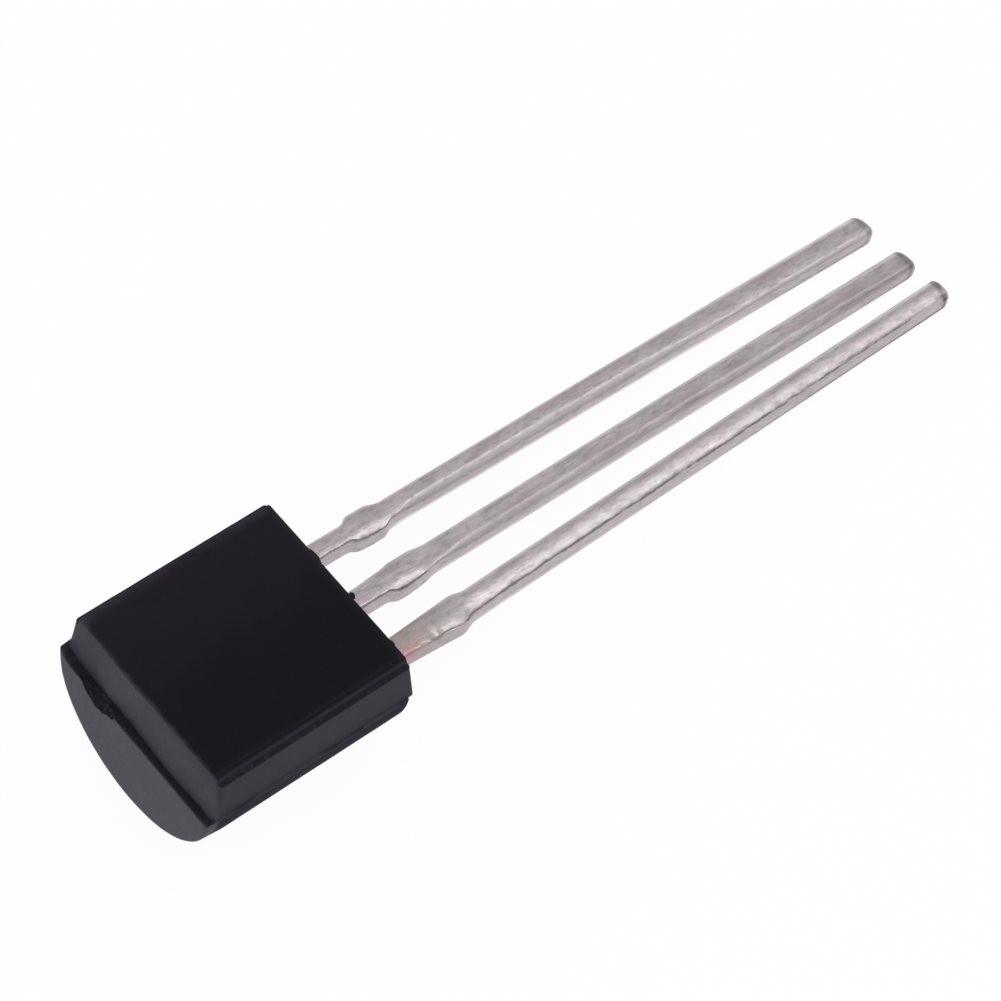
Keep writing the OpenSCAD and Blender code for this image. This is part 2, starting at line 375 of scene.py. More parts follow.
@dataclass(frozen=True)
class EpoxyFinish:
    """Black filled moulding compound: matt and finely grained, smoothest on the marking flat and darkest
    there by painted shade.

    A span holds the two places, in millimetres, or the two heights of a noise, between which a zone grows
    from nothing to all. An uneven value is the width by which a noise shifts a zone's edge.
    """

    # Tones of the marking flat, the ledge and step, the sides over and under the parting line, and the ends;
    # painted shade darkens the flat, ledge and step, which face up, and painted light lightens the far end
    # and a band along the parting line
    # flat: painted shade, far darker than the sides where the flat faces up
    flat: Colour = (0.0024, 0.0032, 0.0042)
    flat_pale: Colour = (0.0085, 0.0070, 0.0098)
    # ledge and step: painted shade on the up-facing ledge and the step's shoulder
    ledge: Colour = (0.0140, 0.0125, 0.0180)
    step: Colour = (0.0100, 0.0092, 0.0130)
    body: Colour = (0.020, 0.018, 0.026)
    under: Colour = (0.0205, 0.0175, 0.0250)
    # seam: painted light, a pale band along the parting line
    seam: Colour = (0.042, 0.038, 0.050)
    # far and end: the far end's walls, lightened with painted light
    far: Colour = (0.034, 0.032, 0.042)
    end: Colour = (0.043, 0.041, 0.054)
    broken: Colour = (0.0050, 0.0040, 0.0065)
    chalk: Colour = (0.0225, 0.0200, 0.0270)
    sheen: Colour = (0.84, 0.80, 1.0)
    shine: float = 0.13
    # Noises, from the coarsest to the finest, the width of the wave and the depth of the grain
    cloud: Texture = Texture(0.9, detail=4.0)
    wave: Texture = Texture(3.0, detail=4.0)
    fleck: Texture = Texture(9.0)
    grain: Texture = Texture(26.0, detail=4.0, rough=0.7)
    wave_width: float = 0.16
    grain_depth: float = 0.0035
    # Roughness
    body_rough: float = 0.56
    flat_rough: float = 0.50
    cloud_rough: float = 0.1
    scar_rough: float = 0.35
    under_rough: float = 0.4
    under_rough_along: Span = (-0.1, 0.05)
    # The sides and ends, and the height over the parting line
    below: Span = (0.0, -0.04)
    end_along: Span = (0.03, -0.04)
    end_uneven: float = 0.05
    # The ledge, the ragged strip under it and the foot of the end over it, all darkened by painted shade
    ledge_level: Span = (0.03, 0.012)
    ledge_along: Span = (-0.06, -0.10)
    ragged_level: Span = (-0.10, -0.02)
    ragged_along: Span = (-0.18, -0.24)
    ragged_uneven: float = 0.4
    ragged_share: float = 0.7
    foot_level: Span = (0.12, 0.0)
    foot_along: Span = (-0.05, -0.08)
    foot_uneven: float = 0.25
    foot_share: float = 0.6
    # The parting line's band of painted light, and the step's shoulder with its painted shade
    seam_level: Span = (0.05, 0.02)
    seam_along: Span = (-0.02, 0.04)
    seam_cloud: Span = (0.62, 0.46)
    shoulder_edge: float = 0.02
    shoulder_level: Span = (0.025, 0.010)
    shoulder_along: Span = (0.02, 0.06)
    shoulder_fleck: Span = (0.56, 0.66)
    shoulder_loss: float = 0.6
    # The marking flat: paler towards its -X side, along its far edge and at its far corner, and along its
    # paler rim
    top: Span = (-0.09, -0.02)
    top_uneven: float = 0.03
    pale_across: Span = (0.9, -1.7)
    pale_cloud: float = 3.0
    pale_fleck: float = 1.2
    edge_along: Span = (0.07, -0.03)
    edge_share: float = 0.7
    corner: Place = (-2.0, 0.0, -0.03)
    corner_span: Span = (0.34, 0.06)
    corner_share: float = 0.6
    rim_across: Span = (-1.80, -2.04)
    rim_along: Span = (4.12, 4.33)
    rim_along_share: float = 0.6
    rim_share: float = 0.42
    rim_cloud: float = 1.4
    rim_fleck: float = 0.5
    # The gate's scar, and the paler spot at the raised end of the ledge
    scar_margin: float = 0.1
    scar_front: Span = (0.004, 0.010)
    scar_back: Span = (0.12, 0.10)
    scar_top: Span = (0.006, -0.006)
    chalk_fleck: Span = (0.5, 0.72)
    ear: Place = (-2.2, -0.2, -1.0)
    ear_span: Span = (0.24, 0.05)
    ear_share: float = 0.35
    # How much each noise varies the tone
    cloud_shade: float = 0.5
    fleck_shade: float = 0.5
    grain_shade: float = 0.6

    def sides(self, skin: Skin) -> Value:
        """The tone of the case's sides and ends, with the ledge and the parting line.

        Args:
            skin: The case's surface.

        Returns:
            The wrapped colour.
        """
        mix = skin.shader.mix
        level, below, along, fleck = skin.level, skin.below, skin.along, skin.fleck
        # Painted light: the far end's walls take lighter tones than the sides
        end = mix(below, self.far, self.end)
        tone = mix(along.ramp(*self.end_along), mix(below, self.body, self.under), end)
        # Painted shade: the ledge, a ragged strip under it and the foot of the far wall over it are darkened
        ledge = abs(level).ramp(*self.ledge_level) * along.ramp(*self.ledge_along)
        ragged = (level + fleck.about(self.ragged_uneven)).ramp(*self.ragged_level) * below
        ragged = ragged * along.ramp(*self.ragged_along) * self.ragged_share
        foot = (level + fleck.about(self.foot_uneven)).ramp(*self.foot_level) * (1.0 - below)
        foot = foot * along.ramp(*self.foot_along) * self.foot_share
        tone = mix(ledge.at_least(ragged).at_least(foot), tone, self.ledge)
        # Painted light: a paler band along the parting line on the sides, where shade falls in its step
        seam = abs(level).ramp(*self.seam_level) * along.ramp(*self.seam_along)
        return mix(seam * skin.cloud.ramp(*self.seam_cloud), tone, self.seam)

    def shoulder(self, skin: Skin, case: MouldedCase, tone: Value) -> Value:
        """Lay the strip of painted shade on the step's +X shoulder over the sides.

        Args:
            skin: The case's surface.
            case: The case, for its step.
            tone: The sides' wrapped colour.

        Returns:
            The wrapped colour.
        """
        # Painted shade: the up-facing +X shoulder of the step is darkened, broken up by the fleck
        beside = skin.across.ramp(case.foot_x - self.shoulder_edge, case.foot_x)
        strip = abs(skin.up + case.step_h).ramp(*self.shoulder_level) * beside
        kept = 1.0 - skin.fleck.ramp(*self.shoulder_fleck) * self.shoulder_loss
        return skin.shader.mix(strip * skin.along.ramp(*self.shoulder_along) * kept, tone, self.step)

    def marking_flat(self, skin: Skin) -> Value:
        """The tone of the marking flat, darkened by painted shade and paler towards its -X side.

        Args:
            skin: The case's surface.

        Returns:
            The wrapped colour.
        """
        mix = skin.shader.mix
        across = skin.across + skin.cloud.about(self.pale_cloud) + skin.fleck.about(self.pale_fleck)
        # Painted shade: both of the flat's tones are far darker than the sides'
        tone = mix(across.ramp(*self.pale_across), self.flat, self.flat_pale)
        # Paler along the far edge, at the far -X corner and along the rim, in the far wall's lighter tone
        tone = mix((skin.along + skin.wave).ramp(*self.edge_along) * self.edge_share, tone, self.far)
        corner = skin.near(self.corner, self.corner_span, skin.wave) * self.corner_share
        tone = mix(corner, tone, self.far)
        near_rim = skin.along.ramp(*self.rim_along) * self.rim_along_share
        rim = skin.across.ramp(*self.rim_across).at_least(near_rim)
        uneven = self.rim_share + skin.cloud.about(self.rim_cloud) + skin.fleck.about(self.rim_fleck)
        return mix(rim * uneven, tone, self.far)

    def material(self, case: MouldedCase) -> bpy.types.Material:
        """Build the material.

        Args:
            case: The case that it covers.

        Returns:
            The material.
        """
        shader = Shader("epoxy")
        skin = Skin(shader, case, self)
        tone = self.shoulder(skin, case, self.sides(skin))
        # Painted shade: the up-facing marking flat takes its darker tone
        tone = shader.mix(skin.on_top, tone, self.marking_flat(skin))
        chips = shader.mix(skin.fleck.ramp(*self.chalk_fleck), self.broken, self.chalk)
        tone = shader.mix(skin.scar, tone, chips)
        tone = shader.mix(skin.near(self.ear, self.ear_span) * self.ear_share, tone, self.far)
        shade = 1.0 + skin.cloud.about(self.cloud_shade) + skin.fleck.about(self.fleck_shade)
        shade = shade + skin.grain.about(self.grain_shade)
        tone = shader.add("ShaderNodeVectorMath", {"operation": "SCALE"}, {0: tone, "Scale": shade})
        rough = skin.on_top * (self.flat_rough - self.body_rough) + self.body_rough
        under = skin.below * skin.along.ramp(*self.under_rough_along) * self.under_rough
        rough = rough + skin.cloud.about(self.cloud_rough) + (skin.scar * self.scar_rough).at_least(under)
        return shader.surface(
            {
                "Base Color": tone,
                "Roughness": rough.clamped(),
                "Normal": shader.bump(skin.grain, self.grain_depth),
                "Specular IOR Level": self.shine,
                "Specular Tint": self.sheen,
            }
        )


@dataclass(frozen=True)
class TinFinish:
    """Dull hot-dipped tin over a stamped copper-alloy lead, scratched along its length.

    A span holds the two heights of a noise, or the two distances in millimetres, between which a tone
    grows from nothing to all. A stretch is how much a noise is drawn out along the lead.
    """

    # Tones of the tin, from clean to dirty, of its painted highlight and shade, and of the bare spot
    tin: Colour = (0.555, 0.505, 0.525)
    pale: Colour = (0.70, 0.665, 0.68)
    dull: Colour = (0.43, 0.388, 0.407)
    rosy: Colour = (0.56, 0.46, 0.50)
    mossy: Colour = (0.50, 0.49, 0.47)
    # grime: specks of dirt, and painted shade in the crease and before the tip
    grime_and_shade: Colour = (0.16, 0.14, 0.15)
    streak_tone: Colour = (0.41, 0.355, 0.37)
    # bright: the tone of the painted highlight
    bright: Colour = (0.90, 0.87, 0.89)
    olive: Colour = (0.37, 0.355, 0.31)
    rust: Colour = (0.46, 0.36, 0.38)
    copper: Colour = (0.50, 0.29, 0.30)
    # Noises, their stretches, and the depths of their relief in millimetres
    tint: Texture = Texture(3.2, rough=0.6)
    mottle: Texture = Texture(5.0, detail=6.0, rough=0.68)
    blotch: Texture = Texture(6.5, detail=4.0, rough=0.6)
    speck: Texture = Texture(17.0, detail=4.0, rough=0.65)
    scratch: Texture = Texture(34.0, rough=0.6)
    drift_stretch: float = 0.3
    brush_stretch: float = 0.08
    mottle_depth: float = 0.005
    speck_depth: float = 0.003
    scratch_depth: float = 0.0012
    # Where the noises bring each tone, and how much of it
    tin_mottle: Span = (0.36, 0.60)
    rosy_tint: Span = (0.52, 0.66)
    mossy_tint: Span = (0.48, 0.34)
    tint_share: float = 0.7
    pale_scratch: Span = (0.57, 0.66)
    scratch_share: float = 0.5
    grime_speck: Span = (0.47, 0.72)
    speck_share: float = 0.42
    # The darker streak, the painted highlight on the edges, the wear and painted light of the top corners,
    # and the painted shade in the crease and round the tip
    streak_share: float = 0.45
    streak_tint: float = 2.0
    streak_scratch: float = 1.5
    glint_share: float = 0.9
    glint_least: float = 0.6
    worn_and_lit_share: float = 0.7
    crease_gain: float = 1.4
    crease_uneven: float = 2.0
    crease_span: Span = (0.2, 0.85)
    crease_start: Span = (0.0, 0.3)
    crease_share: float = 0.7
    tip_share: float = 0.85
    tip_uneven: float = 1.5
    # The stain round the bare spot, and the copper in its middle
    stain_reach: Span = (1.7, 0.7)
    stain_uneven: float = 0.6
    rust_blotch: Span = (0.42, 0.56)
    stain_share: float = 0.85
    copper_reach: Span = (0.26, 0.12)
    copper_uneven: float = 0.3
    copper_mottle: Span = (0.36, 0.5)
    # Roughness
    rough: float = 0.44
    mottle_rough: float = 0.3
    worn_rough: float = 0.38

    def material(self, name: str, drawing: Matrix, lean: float, bare: Place | None) -> bpy.types.Material:
        """Build the material of one lead.

        Args:
            name: The material's name.
            drawing: The transform from the row frame to the drawing axes.
            lean: The lead's sideways lean, as a small angle in radians.
            bare: A place in drawing millimetres where the tin has worn off, if there is one.

        Returns:
            The material.
        """
        shader = Shader(name)
        mix = shader.mix
        place = shader.millimetres(drawing, lean)
        drift = shader.stretched(place, (1.0, self.drift_stretch, 1.0))
        brushed = shader.stretched(place, (1.0, self.brush_stretch, 1.0))
        mottle, tint, speck = (shader.noise(drift, kind) for kind in (self.mottle, self.tint, self.speck))
        scratch = shader.noise(brushed, self.scratch)
        tone = mix(mottle.ramp(*self.tin_mottle), self.dull, self.tin)
        tone = mix(tint.ramp(*self.rosy_tint) * self.tint_share, tone, self.rosy)
        tone = mix(tint.ramp(*self.mossy_tint) * self.tint_share, tone, self.mossy)
        tone = mix(scratch.ramp(*self.pale_scratch) * self.scratch_share, tone, self.pale)
        tone = mix(speck.ramp(*self.grime_speck) * self.speck_share, tone, self.grime_and_shade)
        # A darker tone over one half of the top face
        uneven = tint.about(self.streak_tint) + scratch.about(self.streak_scratch)
        streak = shader.attribute("streak") * (uneven + self.streak_share)
        tone = mix(streak, tone, self.streak_tone)
        # Painted highlight: a bright tone on the top -X corner, the tip's rim and the lower +X corner
        rubbed = shader.attribute("rubbed") * self.glint_share * (mottle + self.glint_least)
        tone = mix(rubbed, tone, self.bright)
        # Wear roughens the top corners; the paler tone there is painted light that fills their dark
        # reflection
        worn = shader.attribute("worn")
        tone = mix((worn - streak).clamped() * self.worn_and_lit_share, tone, self.pale)
        # Painted shade: a broken dark line along the crease at the top +X corner
        rim = shader.attribute("rim")
        line = rim * self.crease_gain + speck.about(self.crease_uneven) + mottle.about(self.crease_uneven)
        line = line.ramp(*self.crease_span) * rim.ramp(*self.crease_start) * self.crease_share
        tone = mix(line, tone, self.grime_and_shade)
        # Painted shade: a dark band just short of the tip, and on the lower +X corner near it
        uneven = speck.about(self.tip_uneven) + mottle.about(self.tip_uneven)
        tone = mix(shader.attribute("tip") * (uneven + self.tip_share).clamped(), tone, self.grime_and_shade)
        if bare is not None:
            near = (shader.distance(place, bare) + mottle.about(self.stain_uneven)).ramp(*self.stain_reach)
            blotch = shader.noise(place, self.blotch)
            stain = mix(blotch.ramp(*self.rust_blotch), self.olive, self.rust)
            tone = mix(near * self.stain_share, tone, stain)
            middle = (bare[0], bare[1] * self.drift_stretch, bare[2])
            spot = (shader.distance(drift, middle) + speck.about(self.copper_uneven)).ramp(*self.copper_reach)
            tone = mix(spot * mottle.ramp(*self.copper_mottle), tone, self.copper)
        rough = mottle.about(self.mottle_rough) + worn * self.worn_rough + self.rough
        normal = shader.bump(mottle, self.mottle_depth)
        normal = shader.bump(scratch, self.scratch_depth, normal)
        normal = shader.bump(speck, self.speck_depth, normal)
        return shader.surface(
            {"Base Color": tone, "Metallic": 1.0, "Roughness": rough.clamped(), "Normal": normal}
        )


@dataclass(frozen=True)
class InnerFinish:
    """A piece sealed inside the case: plain, with a fine grain."""

    colour: Colour
    metallic: float
    rough: float
    grain: Texture = Texture(30.0)
    grain_depth: float = 0.001
    grain_rough: float = 0.1
    grain_span: Span = (0.35, 0.65)
    shade: float = 0.75

    def material(self, name: str) -> bpy.types.Material:
        """Build the material under a name.

        Args:
            name: The material's name.

        Returns:
            The material.
        """
        shader = Shader(name)
        place = shader.millimetres()
        grain = shader.noise(place, self.grain)
        darker = tuple(self.shade * part for part in self.colour)
        tone = shader.mix(grain.ramp(*self.grain_span), darker, self.colour)
        normal = shader.bump(grain, self.grain_depth)
        rough = grain.about(self.grain_rough) + self.rough
        return shader.surface(
            {"Base Color": tone, "Metallic": self.metallic, "Roughness": rough.clamped(), "Normal": normal}
        )


SILICON = InnerFinish((0.30, 0.32, 0.36), metallic=0.6, rough=0.15)
SILVER_ADHESIVE = InnerFinish((0.72, 0.72, 0.70), metallic=0.3, rough=0.5)
GOLD = InnerFinish((0.85, 0.62, 0.22), metallic=1.0, rough=0.25)


@dataclass(frozen=True)
class FloorFinish:
    """White sweep that keeps a faint shadow."""

    colour: Colour = (0.86, 0.86, 0.86)
    white: Colour = (1.0, 1.0, 1.0)
    lit_share: float = 0.95

    def material(self) -> bpy.types.Material:
        """Build the material: plain white to the light, and white to the camera and to reflections.

        Returns:
            The floor's material.
        """
        shader = Shader("floor")
        matt = shader.add("ShaderNodeBsdfDiffuse", {}, {"Color": self.colour})
        white = shader.add("ShaderNodeEmission", {}, {"Color": self.white, "Strength": 1.0})
        inputs = {0: shader.seen() * self.lit_share, 1: matt, 2: white}
        shader.close(shader.node("ShaderNodeMixShader", {}, inputs))
        return shader.material


@dataclass(frozen=True)
class SkyFinish:
    """Even studio surroundings: bright overhead, a dim band above the horizon, and white to the camera."""

    overhead: float = 0.80
    horizon: float = 0.54
    band_top: float = 0.52
    band_bottom: float = 0.22

    def material(self) -> bpy.types.World:
        """Build the world.

        Returns:
            The world.
        """
        shader = Shader("sky", sky=True)
        look = shader.add("ShaderNodeTexCoord", {}, {}, "Generated")
        rise = shader.axis(look, "Z").ramp(self.band_bottom, self.band_top)
        glow = self.horizon + rise * (self.overhead - self.horizon)
        camera = shader.rays("Camera")
        strength = glow * (1.0 - camera) + camera
        shader.close(shader.node("ShaderNodeBackground", {}, {"Strength": strength}))
        return shader.material


# Curves


def ease(share: float) -> float:
    """A smooth rise from 0 to 1, held at both ends."""
    held = min(max(share, 0.0), 1.0)
    return (1.0 - math.cos(math.pi * held)) / 2


def between(knots: Knots, at: float) -> float:
    """A value read off a line of points, held level past both ends.

    Args:
        knots: The points, as position and value, in order.
        at: The position.

    Returns:
        The value there.
    """
    if at <= knots[0][0]:
        return knots[0][1]
    for (start, low), (end, high) in zip(knots, knots[1:]):
        if at <= end:
            return low + (high - low) * (at - start) / (end - start)
    return knots[-1][1]


def round_off(radius: float, back: float) -> float:
    """How far a rounded edge has drawn in, at a distance back from the end.

    Args:
        radius: The edge's radius.
        back: The distance back from the end.

    Returns:
        The inset, 0 where the rounding has not begun.
    """
    if back >= radius:
        return 0.0
    return radius - math.sqrt(radius**2 - (radius - back) ** 2)


# Mesh helpers


def mount(record: dict[str, Any], name: str) -> dict[str, Any]:
    """The record's mount of that name."""
    return next(entry for entry in record["mounts"] if entry["name"] == name)


def verts_of(geometry: Iterable[Any]) -> list[bmesh.types.BMVert]:
    """The vertices among an operator's results."""
    return [item for item in geometry if isinstance(item, bmesh.types.BMVert)]


def edges_of(geometry: Iterable[Any]) -> list[bmesh.types.BMEdge]:
    """The edges among an operator's results."""
    return [item for item in geometry if isinstance(item, bmesh.types.BMEdge)]


def new_object(mesh: bmesh.types.BMesh, name: str) -> bpy.types.Object:
    """Turn a bmesh into an object at the origin, and free the bmesh.

    Args:
        mesh: The bmesh.
        name: The object's name.

    Returns:
        The object.
    """
    data = bpy.data.meshes.new(name)
    mesh.to_mesh(data)
    mesh.free()
    item = bpy.data.objects.new(name, data)
    bpy.context.scene.collection.objects.link(item)
    return item


def apply_modifiers(item: bpy.types.Object) -> None:
    """Make an object's modified shape its own mesh.

    Args:
        item: The object.
    """
    graph = bpy.context.evaluated_depsgraph_get()
    graph.update()
    shaped = bpy.data.meshes.new_from_object(item.evaluated_get(graph))
    item.modifiers.clear()
    plain = item.data
    item.data = shaped
    bpy.data.meshes.remove(plain)


def combine(
    item: bpy.types.Object, other: bpy.types.Object, cut: Cut, solver: Solver = Solver.EXACT
) -> None:
    """Join a solid to an object or cut it out, and delete the solid.

    Args:
        item: The object that changes.
        other: The solid.
        cut: What the solid does.
        solver: How they are combined.
    """
    modifier = item.modifiers.new("combine", "BOOLEAN")
    modifier.object = other
    modifier.operation = cut.value
    modifier.solver = solver.value
    apply_modifiers(item)
    data = other.data
    bpy.data.objects.remove(other)
    bpy.data.meshes.remove(data)


def reshape(item: bpy.types.Object, change: Callable[[bmesh.types.BMesh], None]) -> None:
    """Run a change on an object's mesh as a bmesh.

    Args:
        item: The object.
        change: A function that edits the bmesh.
    """
    mesh = bmesh.new()
    mesh.from_mesh(item.data)
    change(mesh)
    mesh.to_mesh(item.data)
    mesh.free()


def merged_copy(item: bpy.types.Object, turn: Matrix) -> bpy.types.Object:
    """A copy of an object, moved, with its loose triangles joined into one closed solid.

    Args:
        item: The object.
        turn: Where the copy goes.

    Returns:
        The copy, with its corners on round figures so that faces that meet lie in one plane.
    """
    mesh = bmesh.new()
    mesh.from_mesh(item.data)
    bmesh.ops.transform(mesh, matrix=turn, verts=mesh.verts)
    for vert in mesh.verts:
        vert.co = [round(part, 4) for part in vert.co]
    bmesh.ops.remove_doubles(mesh, verts=mesh.verts, dist=TINY)
    return new_object(mesh, item.name + "_copy")


def relief(point: Vector, per_mm: float) -> float:
    """Smooth noise from about -1 to 1 at a place given in millimetres."""
    return noise.fractal(point * per_mm, NOISE_SMOOTHNESS, NOISE_GROWTH, NOISE_LAYERS)


def slice_at(
    mesh: bmesh.types.BMesh, point: Any, normal: Any, clear: bool = False, near: float = 0.0
) -> None:
    """Cut a mesh along a plane.

    Args:
        mesh: The bmesh.
        point: A point of the plane.
        normal: The plane's normal.
        clear: Whether what lies past the plane goes, and the cut is closed.
        near: How near to the plane a vertex counts as on it.
    """
    geometry = mesh.verts[:] + mesh.edges[:] + mesh.faces[:]
    cut = bmesh.ops.bisect_plane(
        mesh, geom=geometry, plane_co=point, plane_no=normal, dist=near, clear_outer=clear
    )
    if clear:
        bmesh.ops.holes_fill(mesh, edges=edges_of(cut["geom_cut"]))


def lattice(mesh: bmesh.types.BMesh, low: Vector, high: Vector, cell: float) -> None:
    """Cut a mesh along evenly spaced planes, so that large faces get a fine grid.

    Args:
        mesh: The bmesh, in millimetres.
        low: The lowest corner.
        high: The highest corner.
        cell: The spacing of the planes.
    """
    for index in range(3):
        normal = Vector((0.0, 0.0, 0.0))
        normal[index] = 1.0
        count = round((high[index] - low[index]) / cell)
        for step in range(1, count):
            point = normal * (low[index] + (high[index] - low[index]) * step / count)
            slice_at(mesh, point, normal, near=TINY)


# Sub-assemblies


@dataclass
class Bench:
    """How the part lies: from its drawing axes, in millimetres, to the row frame, in metres."""

    record: dict[str, Any]
    flat_l: float = 4.31

    @property
    def up(self) -> Vector:
        """The marking flat's outward normal."""
        return Vector(mount(self.record, "marking_flat")["axis"]).normalized()

    def matrix(self) -> Matrix:
        """The transform from the drawing axes to the row frame.

        Returns:
            The transform.
        """
        across = Vector((1.0, 0.0, 0.0))
        along = self.up.cross(across)
        turned = Matrix((across, along, self.up)).transposed()
        middle = Vector(mount(self.record, "marking_flat")["pos_m"])
        origin = middle - along * self.flat_l * MM / 2
        return Matrix.Translation(origin) @ turned.to_4x4() @ Matrix.Scale(MM, 4)

    def lay(self, item: bpy.types.Object) -> None:
        """Move a drawn object's mesh to where it lies on the bench."""
        item.data.transform(self.matrix())


@dataclass
class EdgeRounds:
    """Radii of the case's moulded edges, in millimetres."""

    flat_rim: float = 0.055
    flat_side: float = 0.11
    flat_back: float = 0.02
    corner: float = 0.10
    shoulder: float = 0.025
    ledge_rim: float = 0.022
    back_far: float = 0.055
    back_near: float = 0.022
    overhang: float = 0.02


@dataclass
class MouldedCase:
    """The epoxy case: a drafted upper half with a raised flat over a round lower half.

    The gate is the scar where the moulding was broken off its runner, the ear is the flash that lifts one
    end of the ledge, and the burrs are crumbs of flash, each with its middle and its half-sizes. The two
    waves shift the edges of the far end, at the flat and at the ledge, by the value at each place across.
    """

    bench: Bench
    flat_w: float = 4.04
    flat_l: float = 4.31
    step_h: float = 0.18
    step_draft: float = 0.045
    shoulder_w: float = 0.085
    parting_depth: float = 1.18
    side_draft: float = 0.07
    far_draft: float = 0.10
    lead_draft: float = 0.18
    case_t: float = 3.33
    back_r: float = 2.26
    back_taper: float = 0.04
    back_taper_l: float = 0.5
    ledge: float = 0.165
    lead_recess: float = 0.15
    gate_w: float = 1.15
    gate_d: float = 0.09
    gate_h: float = 0.36
    gate_x: float = -1.0
    gate_lid: float = 0.004
    gate_segments: int = 240
    gate_layers: int = 60
    gate_wander: float = 0.004
    gate_wander_per_mm: float = 9.0
    gate_rough: float = 0.022
    gate_rough_per_mm: float = 6.0
    rounds: EdgeRounds = field(default_factory=EdgeRounds)
    round_from: float = 25.0
    round_segments: int = 4
    weld: float = 1e-5
    sharp_from: float = 42.0
    back_segments: int = 160
    cell: float = 0.08
    ripple: float = 0.004
    ripple_per_mm: float = 1.4
    dimple: float = 0.3
    dimple_per_mm: float = 5.0
    ear_h: float = 0.21
    ear_x: float = -1.85
    ear_w: float = 0.4
    ear_l: float = 0.3
    ear_reach: float = 0.5
    rim_wave: Knots = (
        (-1.9, 0.002), (-1.4, 0.007), (-0.9, -0.012), (-0.35, -0.03), (0.2, 0.0), (0.8, -0.002),
        (1.35, 0.010), (1.9, 0.023),
    )
    base_wave: Knots = (
        (-2.0, 0.016), (-1.5, 0.044), (-0.9, 0.009), (-0.35, 0.018), (0.2, -0.018), (0.8, -0.037),
        (1.35, -0.028), (1.9, -0.016),
    )
    burrs: tuple[tuple[Place, Place], ...] = (
        ((0.40, 4.335, -0.05), (0.072, 0.056, 0.04)),
        ((-0.66, 4.314, -0.035), (0.17, 0.036, 0.03)),
        ((1.62, 4.312, -0.035), (0.06, 0.02, 0.03)),
    )
    burr_rough: float = 0.3
    burr_rough_per_mm: float = 1.3
    finish: EpoxyFinish = field(default_factory=EpoxyFinish)

    @property
    def foot_x(self) -> float:
        """Half-width of the raised flat at its foot."""
        return self.flat_w / 2 + self.step_draft

    @property
    def shoulder_x(self) -> float:
        """Half-width over the shoulders."""
        return self.foot_x + self.shoulder_w

    @property
    def parting_x(self) -> float:
        """Half-width of the upper half at the parting plane."""
        return self.shoulder_x + self.side_draft

    @property
    def lower_far(self) -> float:
        """Where the lower half ends at the far end."""
        return -self.far_draft - self.ledge

    @property
    def lower_near(self) -> float:
        """Where the lower half ends at the lead end."""
        return self.flat_l + self.lead_draft - self.lead_recess

    def upper_half(self) -> bpy.types.Object:
        """Draw the upper half: its section swept along the case, then drafted at both ends.

        Returns:
            The upper half, closed.
        """
        outline = [
            (self.flat_w / 2, 0.0),
            (self.foot_x, -self.step_h),
            (self.shoulder_x, -self.step_h),
            (self.parting_x, -self.parting_depth),
        ]
        outline += [(-x, z) for x, z in reversed(outline)]
        mesh = bmesh.new()
        face = mesh.faces.new([mesh.verts.new((x, 0.0, z)) for x, z in outline])
        swept = verts_of(bmesh.ops.extrude_face_region(mesh, geom=[face])["geom"])
        bmesh.ops.translate(mesh, verts=swept, vec=(0.0, self.flat_l, 0.0))
        for vert in mesh.verts:
            share = -vert.co.z / self.parting_depth
            vert.co.y += (self.lead_draft if vert in swept else -self.far_draft) * share
        bmesh.ops.recalc_face_normals(mesh, faces=mesh.faces)
        return new_object(mesh, "upper_half")

    def lower_half(self) -> bpy.types.Object:
        """Draw the round back: a barrel with a taper at its far end, cut off at the parting plane.

        Returns:
            The lower half, closed.
        """
        length = self.lower_near - self.lower_far
        axis = Vector((0.0, self.lower_far + length / 2, self.back_r - self.case_t))
        turn = Matrix.Translation(axis) @ Matrix.Rotation(math.radians(-90.0), 4, "X")
        mesh = bmesh.new()
        bmesh.ops.create_cone(
            mesh,
            cap_ends=True,
            segments=self.back_segments,
            radius1=self.back_r,
            radius2=self.back_r,
            depth=length,
            matrix=turn,
        )
        slice_at(mesh, (0.0, self.lower_far + self.back_taper_l, 0.0), (0.0, 1.0, 0.0))
        end = [vert for vert in mesh.verts if vert.co.y < self.lower_far + TINY]
        share = 1.0 - self.back_taper / self.back_r
        bmesh.ops.scale(mesh, verts=end, vec=(share, 1.0, share), space=Matrix.Translation(-axis))
        slice_at(mesh, (0.0, 0.0, -self.parting_depth), UP, clear=True)
        bmesh.ops.recalc_face_normals(mesh, faces=mesh.faces)
        return new_object(mesh, "lower_half")

    def gate_cutter(self) -> bpy.types.Object:
        """Draw the rough round cut that leaves the gate scar on the edge of the ledge.

        Returns:
            The solid to cut out.
        """
        radius = ((self.gate_w / 2) ** 2 + self.gate_d**2) / (2 * self.gate_d)
        lean = math.atan2(self.gate_d, self.gate_h)
        start = Vector((self.gate_x, self.lower_far + self.gate_d, -self.parting_depth))
        mesh = bmesh.new()
        tall = 4 * self.gate_h
        bmesh.ops.create_cone(
            mesh, cap_ends=True, segments=self.gate_segments, radius1=radius, radius2=radius, depth=tall
        )
        for step in range(1, self.gate_layers):
            slice_at(mesh, (0.0, 0.0, tall * (step / self.gate_layers - 0.5)), UP)
        for vert in mesh.verts:
            vert.co.x *= 1 + self.gate_wander * relief(vert.co, self.gate_wander_per_mm) / radius
            vert.co.y += self.gate_rough * relief(vert.co, self.gate_rough_per_mm)
        bmesh.ops.translate(mesh, verts=mesh.verts, vec=(0.0, -radius, 0.0))
        bmesh.ops.rotate(mesh, verts=mesh.verts, matrix=Matrix.Rotation(-lean, 3, "X"))
        bmesh.ops.translate(mesh, verts=mesh.verts, vec=start)
        slice_at(mesh, (0.0, 0.0, -self.parting_depth + self.gate_lid), UP, clear=True)
        return new_object(mesh, "gate_cutter")

